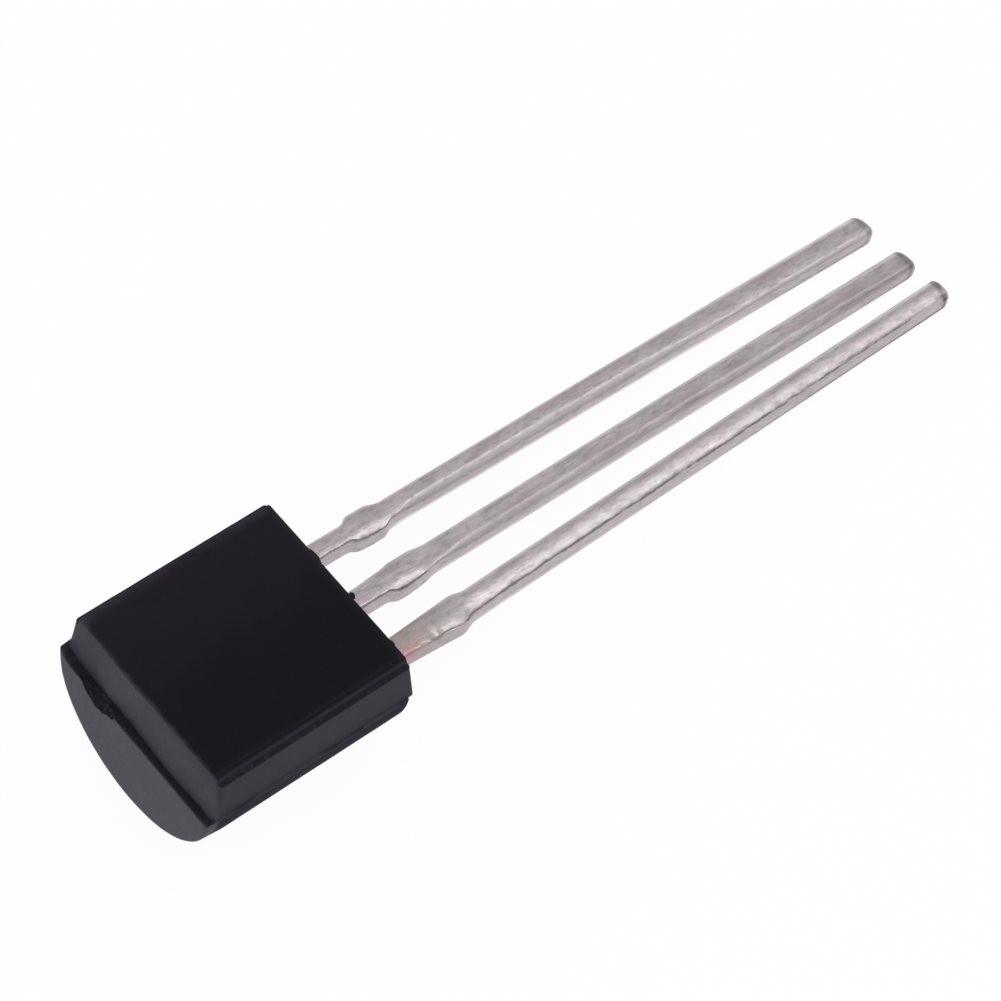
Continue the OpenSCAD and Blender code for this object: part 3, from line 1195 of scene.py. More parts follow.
    def edge_round(self, edge: bmesh.types.BMEdge) -> float:
        """The radius that an edge of the raw case gets, or 0 where it stays sharp.

        Args:
            edge: An edge of the drawn case.

        Returns:
            The radius in millimetres.
        """
        if edge.calc_face_angle_signed(0.0) < math.radians(self.round_from):
            return 0.0
        first, second = (vert.co for vert in edge.verts)
        middle, run = (first + second) / 2, (second - first).normalized()
        if middle.z > -TINY:
            if abs(run.y) < 0.5:
                return self.rounds.flat_rim
            return self.rounds.flat_side if middle.x > 0 else self.rounds.flat_back
        if middle.z > -self.step_h + TINY:
            return self.rounds.flat_rim
        if middle.z > -self.step_h - TINY:
            return self.rounds.shoulder
        if middle.z > -self.parting_depth + TINY:
            return self.rounds.corner if abs(run.z) > 0.5 else 0.0
        if middle.z > -self.parting_depth - TINY:
            if abs(run.x) < 0.5:
                return 0.0
            if middle.y > self.lower_near + TINY:
                return self.rounds.overhang
            return self.rounds.ledge_rim if middle.y < -self.far_draft - TINY else 0.0
        if middle.y < self.lower_far + TINY:
            return self.rounds.back_far
        return self.rounds.back_near if middle.y > self.lower_near - TINY else 0.0

    def round_edges(self, item: bpy.types.Object) -> None:
        """Round each moulded edge by its own radius.

        Args:
            item: The raw case.
        """
        widest = max(vars(self.rounds).values())

        def weigh(mesh: bmesh.types.BMesh) -> None:
            """Store each edge's share of the widest radius.

            Args:
                mesh: The raw case's mesh.
            """
            bmesh.ops.remove_doubles(mesh, verts=mesh.verts, dist=self.weld)
            bmesh.ops.dissolve_limit(mesh, angle_limit=FLAT_ANGLE, verts=mesh.verts, edges=mesh.edges)
            weight = mesh.edges.layers.float.new("bevel_weight_edge")
            for edge in mesh.edges:
                edge[weight] = self.edge_round(edge) / widest

        reshape(item, weigh)
        modifier = item.modifiers.new("rounds", "BEVEL")
        modifier.width = widest
        modifier.segments = self.round_segments
        modifier.limit_method = "WEIGHT"
        modifier.use_clamp_overlap = False
        modifier.harden_normals = False
        apply_modifiers(item)

    def warp(self, place: Vector) -> Vector:
        """How far the moulding strays from its drawing: wavy far edges and a raised end of the ledge.

        Args:
            place: A point of the drawn case.

        Returns:
            The shift in millimetres.
        """
        depth = min(-place.z / self.parting_depth, 1.0)
        wave = between(self.rim_wave, place.x) * (1.0 - depth) + between(self.base_wave, place.x) * depth
        if place.z < -self.parting_depth - TINY:
            wave = 0.0
        near_end = ease((self.ear_l - place.y) / self.ear_l)
        share = max(1.0 - abs(place.z + self.parting_depth) / self.ear_reach, 0.0)
        rise = self.ear_h * min(max((self.ear_x - place.x) / self.ear_w, 0.0), 1.0)
        on_upper = place.y > self.lower_far + self.far_draft
        return Vector((0.0, wave * near_end * on_upper, rise * share * near_end))

    def burr(self, place: Place, size: Place) -> bpy.types.Object:
        """Draw one crumb of flash.

        Args:
            place: Its middle.
            size: Its half-sizes.

        Returns:
            The crumb.
        """
        mesh = bmesh.new()
        bmesh.ops.create_icosphere(mesh, subdivisions=3, radius=1.0)
        for vert in mesh.verts:
            vert.co *= 1.0 + self.burr_rough * relief(vert.co + Vector(place), self.burr_rough_per_mm)
        bmesh.ops.scale(mesh, verts=mesh.verts, vec=size)
        bmesh.ops.translate(mesh, verts=mesh.verts, vec=place)
        return new_object(mesh, "burr")

    def roughen(self, mesh: bmesh.types.BMesh) -> None:
        """Give the moulding a fine grid and a faint ripple.

        Args:
            mesh: The case's mesh.
        """
        low = Vector((-self.back_r, self.lower_far, -self.case_t))
        high = Vector((self.back_r, self.flat_l + self.lead_draft, 0.0))
        lattice(mesh, low, high, self.cell)
        mesh.normal_update()
        for vert in mesh.verts:
            wave = relief(vert.co, self.ripple_per_mm) * (1.0 - self.dimple)
            wave += relief(vert.co, self.dimple_per_mm) * self.dimple
            vert.co += vert.normal * self.ripple * wave + self.warp(vert.co)

    def build(self, inner: list[bpy.types.Object], drawn: list[bpy.types.Object]) -> bpy.types.Object:
        """Build and dress the case.

        Args:
            inner: The CAD nodes that the case is moulded round.
            drawn: The leads, in drawing millimetres, which this uses up.

        Returns:
            The finished piece.
        """
        case = self.upper_half()
        case.name = "case"
        combine(case, self.lower_half(), Cut.JOIN)
        self.round_edges(case)
        combine(case, self.gate_cutter(), Cut.REMOVE)
        reshape(case, self.roughen)
        for place, size in self.burrs:
            combine(case, self.burr(place, size), Cut.JOIN)
        back = self.bench.matrix().inverted()
        for node in inner:
            combine(case, merged_copy(node, back), Cut.REMOVE)
        for lead in drawn:
            combine(case, lead, Cut.REMOVE, Solver.MANIFOLD)
        self.bench.lay(case)
        case.data.shade_smooth()
        case.data.set_sharp_from_angle(angle=math.radians(self.sharp_from))
        case.data.materials.clear()
        case.data.materials.append(self.finish.material(self))
        return case


# Where a cross-section's corners lie: top +X, top -X, lower -X, lower +X
CORNER_SIGNS = ((1, 1), (-1, 1), (-1, -1), (1, -1))


@dataclass
class Station:
    """One cross-section of a lead, in millimetres.

    Its left and right half-widths are measured from the lead's centre line. Its corners run from the top
    +X one round to the lower +X one. The crown is the height of the solder's swell over the middle of the
    top face. From the place roll_from the top face rolls down towards the +X side with the curvature roll,
    up to the steepest slope, and the crease is the depth of the groove between the two.

    The rest says how strongly each mark of the tin shows here: rim the painted shade in the crease,
    worn the wear of the top corners and the painted light on them, streak the long dark streak, which
    is negative on the -X side, tip the painted shade in a band before the tip, tip_glint the painted
    highlight on the rim of the tip, and foot the painted highlight of the lower +X corner, which is negative
    where painted shade darkens that corner.
    """

    along: float
    left: float
    right: float
    half_t: float
    corners: list[float]
    crown: float = 0.0
    crease: float = 0.0
    roll_from: float = 0.0
    roll: float = 0.0
    steepest: float = 0.0
    rim: float = 0.0
    worn: float = 0.0
    streak: float = 0.0
    tip: float = 0.0
    tip_glint: float = 0.0
    foot: float = 0.0

    def sink(self, across: float) -> float:
        """How far the rolled part of the top face has sunk at a place across it.

        Args:
            across: The place across the section.

        Returns:
            The depth.
        """
        reach = max(across - self.roll_from, 0.0)
        if self.roll <= 0.0:
            return 0.0
        curved = min(reach, self.steepest / self.roll)
        return self.roll * curved**2 / 2 + self.steepest * (reach - curved)

    def corner_point(self, index: int, turn: float) -> Vector:
        """A point round one corner.

        Args:
            index: The corner's place in the list.
            turn: The angle round the section, in degrees.

        Returns:
            The point across and up.
        """
        side, height = CORNER_SIGNS[index]
        radius = self.corners[index]
        half_w = self.right if side > 0 else self.left
        angle = math.radians(turn)
        across = side * (half_w - radius) + radius * math.cos(angle)
        return Vector((across, height * (self.half_t - radius) + radius * math.sin(angle)))


@dataclass(frozen=True)
class RingSlot:
    """A place on the ring of a cross-section: round a corner, or a share of the way to the next one.

    Angles are in degrees, counted from +X over the top. Each mark has its angle and how far it reaches.
    """

    corner: int
    turn: float
    share: float = 0.0
    crease_at: float = 66.0
    crease_reach: float = 24.0
    worn_reach: float = 50.0
    # Where the painted highlight lies round the top -X corner
    glint_from: float = 90.0
    glint_reach: float = 25.0
    glint_least: float = 0.35
    foot_from: float = 290.0
    foot_reach: float = 30.0
    foot_face: float = 2.2
    streak_slope: float = 1.4
    streak_up: float = 0.55

    @property
    def direction(self) -> Vector:
        """The way that the surface faces here, across and up."""
        turn = math.radians(self.turn)
        return Vector((math.cos(turn), math.sin(turn)))

    @property
    def crease_share(self) -> float:
        """How much of the crease this place has.

        Returns:
            The share, from 0 to 1.
        """
        if self.corner != 0 or self.share > 0.0:
            return 0.0
        return ease(1.0 - abs(self.turn - self.crease_at) / self.crease_reach)

    @property
    def worn_and_lit_share(self) -> float:
        """How far this place is worn and lit by painted light: most in the middle of either top corner, and
        not on the faces.

        Returns:
            The share, from 0 to 1.
        """
        if self.corner > 1 or self.share > 0.0:
            return 0.0
        return ease(1.0 - abs(self.turn % 90.0 - 45.0) / self.worn_reach)

    @property
    def glint_share(self) -> float:
        """How bright the painted highlight is here: along the top -X corner, and most of all low on it.

        Returns:
            The brightness, from 0 to 1.
        """
        if self.corner != 1 or self.share > 0.0:
            return 0.0
        low = ease((self.turn - self.glint_from) / self.glint_reach)
        return self.glint_least + (1.0 - self.glint_least) * low

    @property
    def foot_share(self) -> float:
        """How near this place is to the lower +X corner.

        Returns:
            The share, from 0 to 1.
        """
        if self.corner != 3:
            return 0.0
        if self.share > 0.0:
            return ease(1.0 - self.share * self.foot_face)
        return ease((self.turn - self.foot_from) / self.foot_reach)

    def streak_share(self, at: Station) -> float:
        """How dark the long streak is here: on the half that the sign of the station's streak names.

        Args:
            at: The cross-section.

        Returns:
            The darkness, from 0 up.
        """
        if self.direction.y < self.streak_up:
            return 0.0
        spot = self.point(at)
        half_w = at.right if spot.x > 0 else at.left
        side = math.copysign(1.0, at.streak)
        return abs(at.streak) * ease(0.5 + self.streak_slope * side * spot.x / half_w)

    def point(self, at: Station) -> Vector:
        """Where this place lies on a cross-section, across and up.

        Args:
            at: The cross-section.

        Returns:
            The point.
        """
        here = at.corner_point(self.corner, self.turn)
        if self.share > 0.0:
            here = here.lerp(at.corner_point((self.corner + 1) % 4, self.turn), self.share)
        outward = self.direction
        here -= outward * at.crease * self.crease_share
        half_w = at.right if here.x > 0 else at.left
        here.y += at.crown * max(1.0 - (here.x / half_w) ** 2, 0.0) * max(outward.y, 0.0)
        here.y -= at.sink(here.x) * max(here.y / at.half_t + 1.0, 0.0) / 2
        return here


def ring_slots(in_corner: int = 10, in_top: int = 10, in_side: int = 5) -> list[RingSlot]:
    """The places round a rounded rectangle, from the foot of the top +X corner up and round.

    Args:
        in_corner: Points round each corner.
        in_top: Points between the corners along the top, and along the bottom.
        in_side: Points between the corners along each side.

    Returns:
        The places, in order.
    """
    slots = []
    for corner in range(4):
        for step in range(in_corner):
            slots.append(RingSlot(corner, 90.0 * (corner + step / (in_corner - 1))))
        count = in_side if corner % 2 else in_top
        for step in range(1, count + 1):
            slots.append(RingSlot(corner, 90.0 * (corner + 1), step / (count + 1)))
    return slots


@dataclass(frozen=True)
class TinWear:
    """How unevenly the tin lies along a lead, how its corners wear, and where light and shade are painted on
    it, in millimetres and shares.

    The three noises, drift, wobble and chatter, run along the lead. Each has its level, which tells it
    from the others, and its features for each millimetre. A share such as corner_wobble is how far that
    noise changes that shape. The tip glint is the painted highlight on the rim of the tip, and the band the
    painted shade before it.
    """

    drift: Span = (0.0, 1.1)
    wobble: Span = (5.0, 2.6)
    chatter: Span = (9.0, 5.5)
    corner_wobble: float = 0.3
    corner_chatter: float = 0.4
    steady_corner: float = 0.06
    crease_mean: float = 0.5
    crease_drift: float = 0.7
    crease_chatter: float = 0.8
    crease_swell: float = 1.2
    roll_wobble: float = 0.018
    roll_drift: float = 0.2
    roll_chatter: float = 0.12
    worn_from: float = 2.0
    worn_reach: float = 1.5
    tip_glint: float = 0.7
    tip_glint_back: float = 0.1
    tip_glint_reach: float = 0.05
    band_back: float = 0.28
    band_fade: float = 0.08
    band_end: float = 0.09
    band_end_fade: float = 0.05
    ripple: float = 0.0035
    ripple_per_mm: float = 2.2
    ripple_stretch: float = 0.5

    def noises(self, root_x: float, along: float) -> tuple[float, ...]:
        """The three noises of one lead at a distance from the case.

        Args:
            root_x: The lead's place across the case.
            along: The distance from the case.

        Returns:
            The drift, the wobble and the chatter, each from about -1 to 1.
        """
        spans = (self.drift, self.wobble, self.chatter)
        return tuple(relief(Vector((root_x, along, level)), per_mm) for level, per_mm in spans)

    def rippled(self, place: Vector) -> float:
        """Height of the tin's long ripples at a place."""
        stretched = Vector((place.x, place.y * self.ripple_stretch, place.z))
        return self.ripple * relief(stretched, self.ripple_per_mm)


@dataclass
class StampedLead:
    """One tinned lead, swept through its cross-sections from inside the case to its tip.

    Its two edges are given as distances from the case with the half-width there. So are the curvature and
    the steepest slope of its rolled side, its corners and the marks on its tin: see Station.
    """

    bench: Bench
    which: Lead
    length: float
    left_edge: Knots
    right_edge: Knots
    tip_left_r: float
    tip_right_r: float
    crown: float
    roll_from: float
    roll: Knots
    corner: Knots
    rim: Knots
    streak: Knots
    steepest: Knots
    foot: Knots
    left_corner: Knots = ((0.0, 0.045), (9.0, 0.06), (14.4, 0.11))
    tip_skew: float = 0.0
    root_shift: float = 0.0
    shift_reach: float = 14.0
    bare: bool = False
    thick: float = 0.46
    parting_depth: float = 1.18
    low_corner: float = 0.05
    crease: float = 0.008
    swell_rise: float = 0.02
    swell_roll_from: float = 0.09
    swell_steepest: float = 1.2
    swell_from: float = 1.25
    swell_from_fade: float = 0.25
    swell_to: float = 2.15
    swell_to_fade: float = 0.45
    skew_reach: float = 0.4
    tip_edge_r: float = 0.15
    tip_steps: int = 10
    tip_corner_growth: float = 0.4
    tip_room: float = 0.98
    tip_dark: float = 0.45
    step: float = 0.05
    blur: float = 0.05
    post_w: float = 0.95
    post_l: float = 0.8
    post_neck_l: float = 1.1
    paddle_w: float = 1.5
    paddle_l: float = 1.45
    paddle_gap: float = 0.25
    notch_r: float = 0.13
    notch_at: float = 0.25
    notch_steps: int = 8
    inner_corner: float = 0.015
    lower_near: float = 4.34
    bare_across: float = 0.16
    bare_along: float = 0.30
    bare_under: float = 0.1
    sharp_from: float = 55.0
    wear: TinWear = field(default_factory=TinWear)
    finish: TinFinish = field(default_factory=TinFinish)

    @property
    def lean(self) -> float:
        """Sideways lean, in mm for each mm of length, from the lead's mount."""
        axis = mount(self.bench.record, self.which.value + "_pin")["axis"]
        return axis[0] / math.hypot(axis[1], axis[2])

    @property
    def root_x(self) -> float:
        """The lead's place across the case, in millimetres, from its mount."""
        return mount(self.bench.record, self.which.value + "_pin")["pos_m"][0] / MM

    def half_width(self, edge: Knots, along: float) -> float:
        """Half-width of one edge, in millimetres, at a distance from the case, with its corners softened."""
        shares = (-1.0, -0.5, 0.0, 0.5, 1.0)
        return sum(between(edge, along + share * self.blur) for share in shares) / len(shares)

    def swelling(self, along: float) -> float:
        """How much of the solder's swell there is at a distance from the case, from 0 to 1."""
        rise = ease((along - self.swell_from) / self.swell_from_fade)
        return rise * ease((self.swell_to - along) / self.swell_to_fade)

    def station(self, along: float) -> Station:
        """The cross-section at a distance from the case.

        Args:
            along: The distance in millimetres.

        Returns:
            The cross-section.
        """
        wear = self.wear
        swell = self.swelling(along)
        drift, wobble, chatter = wear.noises(self.root_x, along)
        corner = between(self.corner, along)
        unsteady = wear.corner_wobble * wobble + wear.corner_chatter * chatter
        crease = wear.crease_mean + wear.crease_drift * drift + wear.crease_chatter * chatter
        swell_roll = (self.swell_roll_from - self.roll_from) * swell
        uneven_roll = 1.0 + wear.roll_drift * drift + wear.roll_chatter * chatter
        return Station(
            along=along,
            left=self.half_width(self.left_edge, along),
            right=self.half_width(self.right_edge, along),
            half_t=self.thick / 2,
            corners=[
                corner * (1.0 + unsteady * min(1.0, (wear.steady_corner / corner) ** 3)),
                between(self.left_corner, along),
                self.low_corner,
                self.low_corner,
            ],
            crown=self.crown + self.swell_rise * swell,
            crease=self.crease * max(crease + wear.crease_swell * swell, 0.0),
            roll_from=self.roll_from + wear.roll_wobble * wobble + swell_roll,
            roll=between(self.roll, along) * uneven_roll,
            steepest=between(self.steepest, along) + self.swell_steepest * swell,
            rim=between(self.rim, along),
            worn=ease((along - wear.worn_from) / wear.worn_reach),
            streak=between(self.streak, along),
            tip=self.tip_shade(along),
            tip_glint=wear.tip_glint * ease((along - self.length + wear.tip_glint_back) / wear.tip_glint_reach),
            foot=between(self.foot, along),
        )

    def tip_shade(self, along: float) -> float:
        """How much painted shade darkens the tin at a distance from the case: only in a band just short of
        the tip's rim.

        Args:
            along: The distance in millimetres.

        Returns:
            The darkness, from 0 to 1.
        """
        back = self.length - along
        start = ease((self.wear.band_back - back) / self.wear.band_fade)
        return self.tip_dark * start * ease((back - self.wear.band_end) / self.wear.band_end_fade)

    def outer_stations(self) -> list[Station]:
        """Cross-sections outside the case, up to the rounded tip.

        Returns:
            The cross-sections, outwards.
        """
        body = self.length - self.tip_reach
        count = round(body / self.step)
        return [self.station(body * index / count) for index in range(count + 1)] + self.tip_stations()

    @property
    def tip_reach(self) -> float:
        """Length of the rounded tip."""
        return max(self.tip_left_r, self.tip_right_r, self.tip_edge_r)

    def tip_stations(self) -> list[Station]:
        """Cross-sections round the tip, where each edge closes in by its own radius.

        Returns:
            The cross-sections, outwards.
        """
        stations = []
        for index in range(1, self.tip_steps + 1):
            back = self.tip_reach * (1.0 - math.sin(math.radians(90.0 * index / self.tip_steps)))
            at = self.station(self.length - back)
            at.left -= round_off(self.tip_left_r, back)
            at.right -= round_off(self.tip_right_r, back)
            at.half_t -= round_off(self.tip_edge_r, back)
            room = self.tip_room * min(at.left, at.right, at.half_t)
            growth = (self.tip_reach - back) * self.tip_corner_growth
            at.corners = [min(room, corner + growth) for corner in at.corners]
            at.crown *= back / self.tip_reach
            at.roll *= back / self.tip_reach
            at.foot *= back / self.tip_reach
            at.crease = 0.0
            stations.append(at)
        return stations

    def inner_stations(self) -> list[Station]:
        """Cross-sections of the stamping inside the case, from its inner end to the case's wall.

        Returns:
            The cross-sections, outwards.
        """
        post_near = -self.post_neck_l
        post_far = post_near - self.post_l
        neck_w = self.left_edge[0][1] + self.right_edge[0][1]
        if self.which is not Lead.COLLECTOR:
            widths = [(post_far, self.post_w), (post_near, self.post_w), (post_near, neck_w)]
        else:
            near = post_far - self.paddle_gap
            far = near - self.paddle_l
            notch = near - self.paddle_l * self.notch_at
            widths = [(far, self.paddle_w)]
            for index in range(self.notch_steps + 1):
                turn = math.radians(180.0 * index / self.notch_steps)
                depth = 2 * self.notch_r * math.sin(turn)
                widths.append((notch - self.notch_r * math.cos(turn), self.paddle_w - depth))
            widths += [(near, self.paddle_w), (near, neck_w)]
        sharp = [self.inner_corner] * 4
        return [Station(y, width / 2, width / 2, self.thick / 2, sharp) for y, width in widths]

    def ring_point(self, slot: RingSlot, at: Station) -> Vector:
        """A point of a cross-section.

        Args:
            slot: The place on the ring.
            at: The cross-section.

        Returns:
            The point, in drawing millimetres.
        """
        across, up = slot.point(at)
        run = max(at.along, 0.0)
        middle = self.root_x + self.lean * run + self.root_shift * max(1.0 - run / self.shift_reach, 0.0)
        tip = ease((run - self.length + self.skew_reach) / self.skew_reach) * self.tip_skew
        along = self.lower_near + at.along + tip * across / max(at.right, at.left)
        return Vector((middle + across, along, up - self.parting_depth - self.thick / 2))

    def sweep(self) -> bmesh.types.BMesh:
        """Sweep the ring through every station and close both ends.

        Returns:
            The lead as a closed bmesh, with the marks of its tin, and of its painted light and shade, at each
            vertex.
        """
        slots = ring_slots()
        mesh = bmesh.new()
        place = mesh.verts.layers.int.new("place")
        names = ("rim", "worn", "rubbed", "streak", "tip")
        marks = {name: mesh.verts.layers.float.new(name) for name in names}
        bmesh.ops.create_circle(mesh, segments=len(slots), radius=1.0)
        for vert in mesh.verts:
            turn = math.atan2(vert.co.y, vert.co.x) / math.tau
            vert[place] = round(turn * len(slots)) % len(slots)
        loop = mesh.edges[:]
        moving = mesh.verts[:]
        first_ring = mesh.edges[:]
        for index, station in enumerate(self.inner_stations() + self.outer_stations()):
            if index:
                swept = bmesh.ops.extrude_edge_only(mesh, edges=loop)["geom"]
                loop, moving = edges_of(swept), verts_of(swept)
            for vert in moving:
                slot = slots[vert[place]]
                vert.co = self.ring_point(slot, station)
                # Marks at each vertex: painted shade in the crease, wear and painted light on the top
                # corners, the painted highlight, the darker streak and painted shade before the tip
                vert[marks["rim"]] = slot.crease_share * station.rim
                vert[marks["worn"]] = slot.worn_and_lit_share * station.worn
                foot = station.foot * slot.foot_share
                vert[marks["rubbed"]] = max(slot.glint_share, station.tip_glint, foot)
                vert[marks["streak"]] = slot.streak_share(station)
                vert[marks["tip"]] = max(station.tip, -foot)
        bmesh.ops.contextual_create(mesh, geom=first_ring)
        bmesh.ops.contextual_create(mesh, geom=loop)
        bmesh.ops.recalc_face_normals(mesh, faces=mesh.faces)
        return mesh

    def draw(self) -> bpy.types.Object:
        """Draw the lead, with the faint waves of its solder.

        Returns:
            The lead, in drawing millimetres.
        """
        mesh = self.sweep()
        mesh.normal_update()
        for vert in mesh.verts:
            if vert.co.y > self.lower_near:
                vert.co += vert.normal * self.wear.rippled(vert.co)
        return new_object(mesh, "lead." + self.which.value)

    def build(self) -> bpy.types.Object:
        """Draw, lay down and dress the lead.

        Returns:
            The finished piece.
        """
        lead = self.draw()
        self.bench.lay(lead)
        lead.data.shade_smooth()
        lead.data.set_sharp_from_angle(angle=math.radians(self.sharp_from))
        bare = None
        if self.bare:
            across, along = self.root_x + self.bare_across, self.lower_near + self.bare_along
            spot = Vector((across, along, -self.parting_depth - self.bare_under))
            bare = tuple(Matrix.Rotation(self.lean, 3, "Z") @ spot)
        drawing = self.bench.matrix().inverted()
        finish = self.finish.material("tin." + self.which.value, drawing, self.lean, bare)
        lead.data.materials.append(finish)
        return lead


@dataclass(frozen=True)
class Softbox:
    """A square lamp that faces the part, in metres and watts."""

    name: str
    place: Place
    side: float
    watts: float
    target: Place = (0.0, 0.0, 0.002)

    def hang(self) -> None:
        """Add the lamp to the scene."""
        data = bpy.data.lights.new(self.name, "AREA")
        data.shape = "SQUARE"
        data.size = self.side
        data.energy = self.watts
        item = bpy.data.objects.new(self.name, data)
        aim = Vector(self.target) - Vector(self.place)
        item.rotation_euler = aim.to_track_quat("-Z", "Y").to_euler()
        item.location = self.place
        bpy.context.scene.collection.objects.link(item)


@dataclass
class Studio:
    """Floor, lamps and camera."""

    bench: Bench
    aim: Place = (-0.266, 8.634, -1.48)
    azimuth: float = -49.80
    elevation: float = 55.81
    roll: float = 12.36
    distance: float = 74.24
    focal_pixels: float = 3908.0
    sensor_mm: float = 36.0
    near_clip: float = 0.005
    far_clip: float = 20.0
    floor_size: float = 4.0
    lamps: tuple[Softbox, ...] = (
        Softbox("key", (0.14, -0.42, 0.28), 0.50, 1.62),
        Softbox("top", (0.11, 0.20, 0.44), 0.26, 0.58),
    )

    def camera(self) -> None:
        """Place the camera over the part."""
        data = bpy.data.cameras.new("camera")
        data.sensor_width = self.sensor_mm
        data.lens = self.focal_pixels / FRAME_PIXELS * self.sensor_mm
        data.clip_start = self.near_clip
        data.clip_end = self.far_clip
        azimuth, elevation = math.radians(self.azimuth), math.radians(self.elevation)
        flat = math.cos(elevation)
        back = Vector((flat * math.cos(azimuth), flat * math.sin(azimuth), math.sin(elevation)))
        right = UP.cross(back).normalized()
        turn = Matrix.Rotation(math.radians(self.roll), 3, back)
        right = turn @ right
        up = back.cross(right)
        axes = Matrix((right, up, back)).transposed()
        lay = self.bench.matrix()
        turned = lay.to_3x3().normalized() @ axes
        place = lay @ (Vector(self.aim) + back * self.distance)
        item = bpy.data.objects.new("camera", data)
        item.matrix_world = Matrix.Translation(place) @ turned.to_4x4()
        bpy.context.scene.collection.objects.link(item)
        bpy.context.scene.camera = item

    def floor(self) -> None:
        """Lay the floor under the part."""
        mesh = bmesh.new()
        bmesh.ops.create_grid(mesh, x_segments=1, y_segments=1, size=self.floor_size / 2)
        floor = new_object(mesh, "floor")
        floor.data.materials.append(FloorFinish().material())
        floor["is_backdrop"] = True

    def build(self) -> None:
        """Set up the whole studio."""
        self.camera()
        bpy.context.scene.world = SkyFinish().material()
        self.floor()
        for lamp in self.lamps:
            lamp.hang()
        bpy.context.scene.view_settings.view_transform = "Standard"


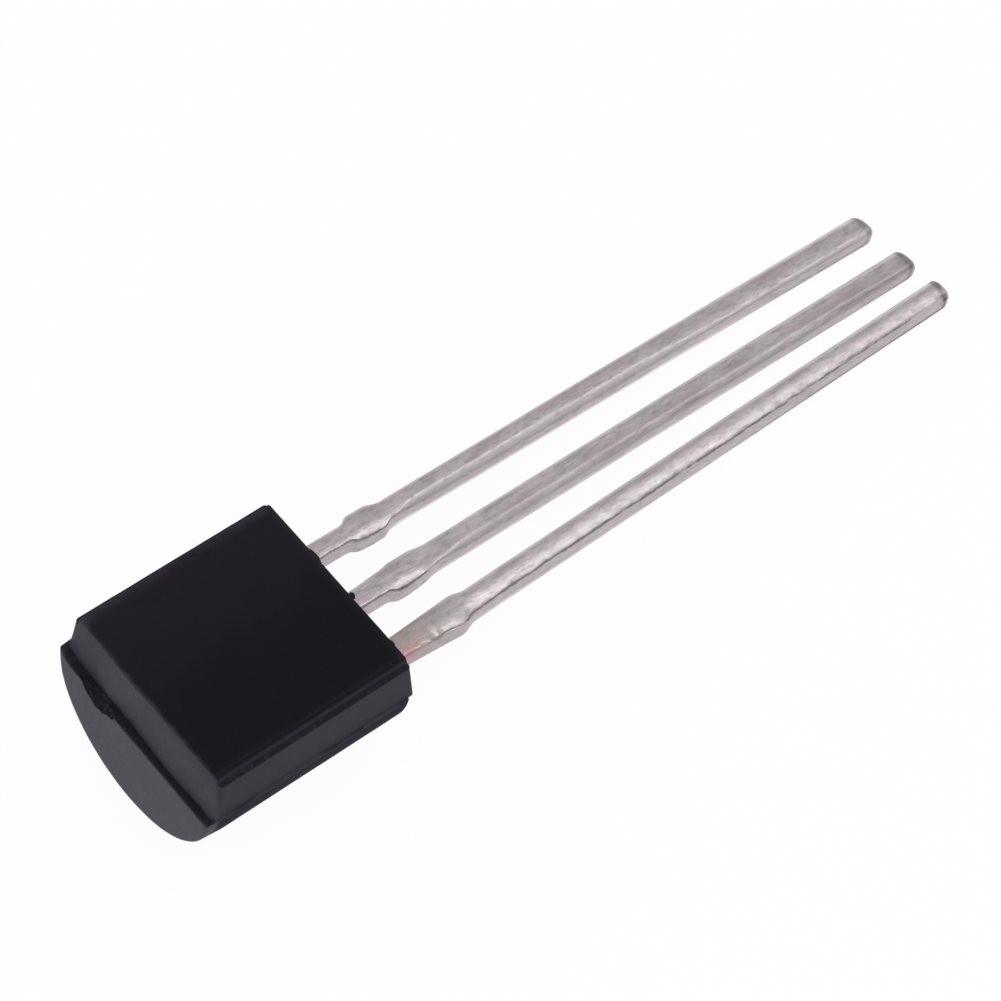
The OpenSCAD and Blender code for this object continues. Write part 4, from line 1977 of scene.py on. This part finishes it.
def leads(bench: Bench) -> list[StampedLead]:
    """The three leads with the sizes that each was stamped and cut to.

    Args:
        bench: How the part lies.

    Returns:
        The leads, from -X to +X.
    """
    emitter = StampedLead(
        bench,
        Lead.EMITTER,
        length=14.57,
        left_edge=[(0.0, 0.20), (1.33, 0.20), (1.47, 0.311), (1.93, 0.308), (2.17, 0.218), (14.57, 0.268)],
        right_edge=[
            (0.0, 0.20), (1.28, 0.197), (1.40, 0.288), (1.72, 0.312), (2.03, 0.31), (2.22, 0.222),
            (2.5, 0.212), (14.57, 0.258),
        ],
        tip_left_r=0.20,
        tip_right_r=0.14,
        tip_skew=0.03,
        crown=0.006,
        roll_from=0.05,
        roll=[(1.1, 1.2), (1.45, 2.2), (1.85, 2.2), (2.2, 1.0)],
        steepest=[(0.0, 0.4), (2.0, 0.4), (2.4, 0.075)],
        streak=[(3.0, 0.0), (6.0, -0.35), (14.5, -0.6)],
        corner=[(0.0, 0.045), (2.2, 0.035), (2.9, 0.16), (8.5, 0.15), (10.5, 0.05), (14.4, 0.08)],
        foot=[(2.0, 0.0), (2.5, 1.2), (9.0, 1.2), (12.6, -0.3), (14.4, -0.7)],
        rim=[(0.0, 0.7), (1.2, 1.0), (1.9, 1.0), (2.4, 0.15), (8.0, 0.15), (10.0, 0.0)],
        crease=0.003,
        root_shift=-0.012,
        shift_reach=3.0,
    )
    collector = StampedLead(
        bench,
        Lead.COLLECTOR,
        length=14.70,
        left_edge=[
            (0.0, 0.212), (0.7, 0.212), (1.35, 0.255), (1.47, 0.288), (1.99, 0.289), (2.27, 0.229),
            (14.7, 0.261),
        ],
        right_edge=[
            (0.0, 0.228), (1.19, 0.228), (1.32, 0.31), (1.55, 0.325), (1.86, 0.303), (2.0, 0.29),
            (2.27, 0.237), (14.7, 0.251),
        ],
        tip_left_r=0.20,
        tip_right_r=0.08,
        tip_skew=0.01,
        tip_dark=0.65,
        crown=0.004,
        roll_from=0.12,
        roll=[(1.0, 1.3), (1.4, 2.2), (1.8, 2.2), (2.1, 0.5)],
        steepest=[(0.0, 0.6), (2.0, 0.6), (2.4, 0.02)],
        streak=[(2.2, 0.0), (4.0, 0.7), (8.0, 1.0), (14.5, 1.5)],
        corner=[(0.0, 0.05), (1.2, 0.05), (2.2, 0.022), (3.0, 0.14), (13.0, 0.14), (14.3, 0.08)],
        foot=[(2.0, 0.0), (2.5, 0.6), (9.0, 0.6), (13.0, -0.3), (14.4, -0.6)],
        rim=[(0.0, 1.0), (1.9, 1.0), (2.3, 0.05), (14.0, 0.1)],
        crease=0.002,
        root_shift=-0.008,
    )
    base = StampedLead(
        bench,
        Lead.BASE,
        length=14.79,
        left_edge=[(0.0, 0.262), (0.7, 0.273), (1.9, 0.317), (2.03, 0.316), (2.26, 0.248), (14.79, 0.250)],
        right_edge=[
            (0.0, 0.215), (0.7, 0.245), (1.5, 0.308), (1.82, 0.343), (1.93, 0.338), (2.23, 0.243),
            (14.79, 0.237),
        ],
        tip_left_r=0.15,
        tip_right_r=0.13,
        tip_dark=0.9,
        crown=0.004,
        roll_from=-0.115,
        roll=[(1.1, 0.3), (1.35, 1.3), (1.7, 1.3), (1.95, 0.8), (2.3, 1.5)],
        steepest=[(0.0, 1.0)],
        streak=[(2.3, 0.0), (4.0, -0.5), (14.5, -0.7)],
        corner=[(0.0, 0.05), (2.3, 0.06), (3.2, 0.085), (14.0, 0.085), (14.6, 0.09)],
        foot=[(2.0, 0.0), (2.5, 0.6), (6.0, 0.4), (8.5, 0.0), (11.0, -0.9), (14.5, -1.4)],
        rim=[(0.0, 0.9), (2.4, 0.8), (13.4, 0.6), (14.2, 0.0)],
        crease=0.012,
        root_shift=0.012,
        bare=True,
    )
    return [emitter, collector, base]


def place_piece(piece: bpy.types.Object, node: str) -> None:
    """Set a finished piece in the frame in place of its CAD node, and report it.

    Args:
        piece: The piece.
        node: The CAD node that it replaces.
    """
    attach(piece, ROOT)
    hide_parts(node)
    LOG.info("%s stands for %s: %d faces", piece.name, node, len(piece.data.polygons))


def dress(node: bpy.types.Object, material: bpy.types.Material) -> None:
    """Give a carried-over CAD node its finish, and report it.

    Args:
        node: The node.
        material: Its finish.
    """
    node.data.materials.clear()
    node.data.materials.append(material)
    LOG.info("%s keeps its CAD shape", node.name)


def corners(bounds: Any) -> list[list[float]]:
    """A box as plain lists."""
    return [[float(part) for part in corner] for corner in bounds]


def main() -> None:
    """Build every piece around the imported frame."""
    logging.basicConfig(level=logging.INFO, format="%(message)s")
    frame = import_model()
    cad_box = corners(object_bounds())
    nodes = frame["nodes"]
    bench = Bench(frame["record"])
    Studio(bench).build()
    case = MouldedCase(bench)
    inner = [nodes[name] for name in ("die_attach", "silicon_die", "bond_wire_emitter", "bond_wire_base")]
    drawn = [lead.draw() for lead in leads(bench)]
    place_piece(case.build(inner, drawn), "moulded_case")
    for lead in leads(bench):
        place_piece(lead.build(), "lead_" + lead.which.value)
    dress(nodes["silicon_die"], SILICON.material("silicon"))
    dress(nodes["die_attach"], SILVER_ADHESIVE.material("silver_adhesive"))
    gold = GOLD.material("gold")
    for name in ("bond_wire_emitter", "bond_wire_base"):
        dress(nodes[name], gold)
    new_box = corners(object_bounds())


if __name__ == "__main__":
    main()
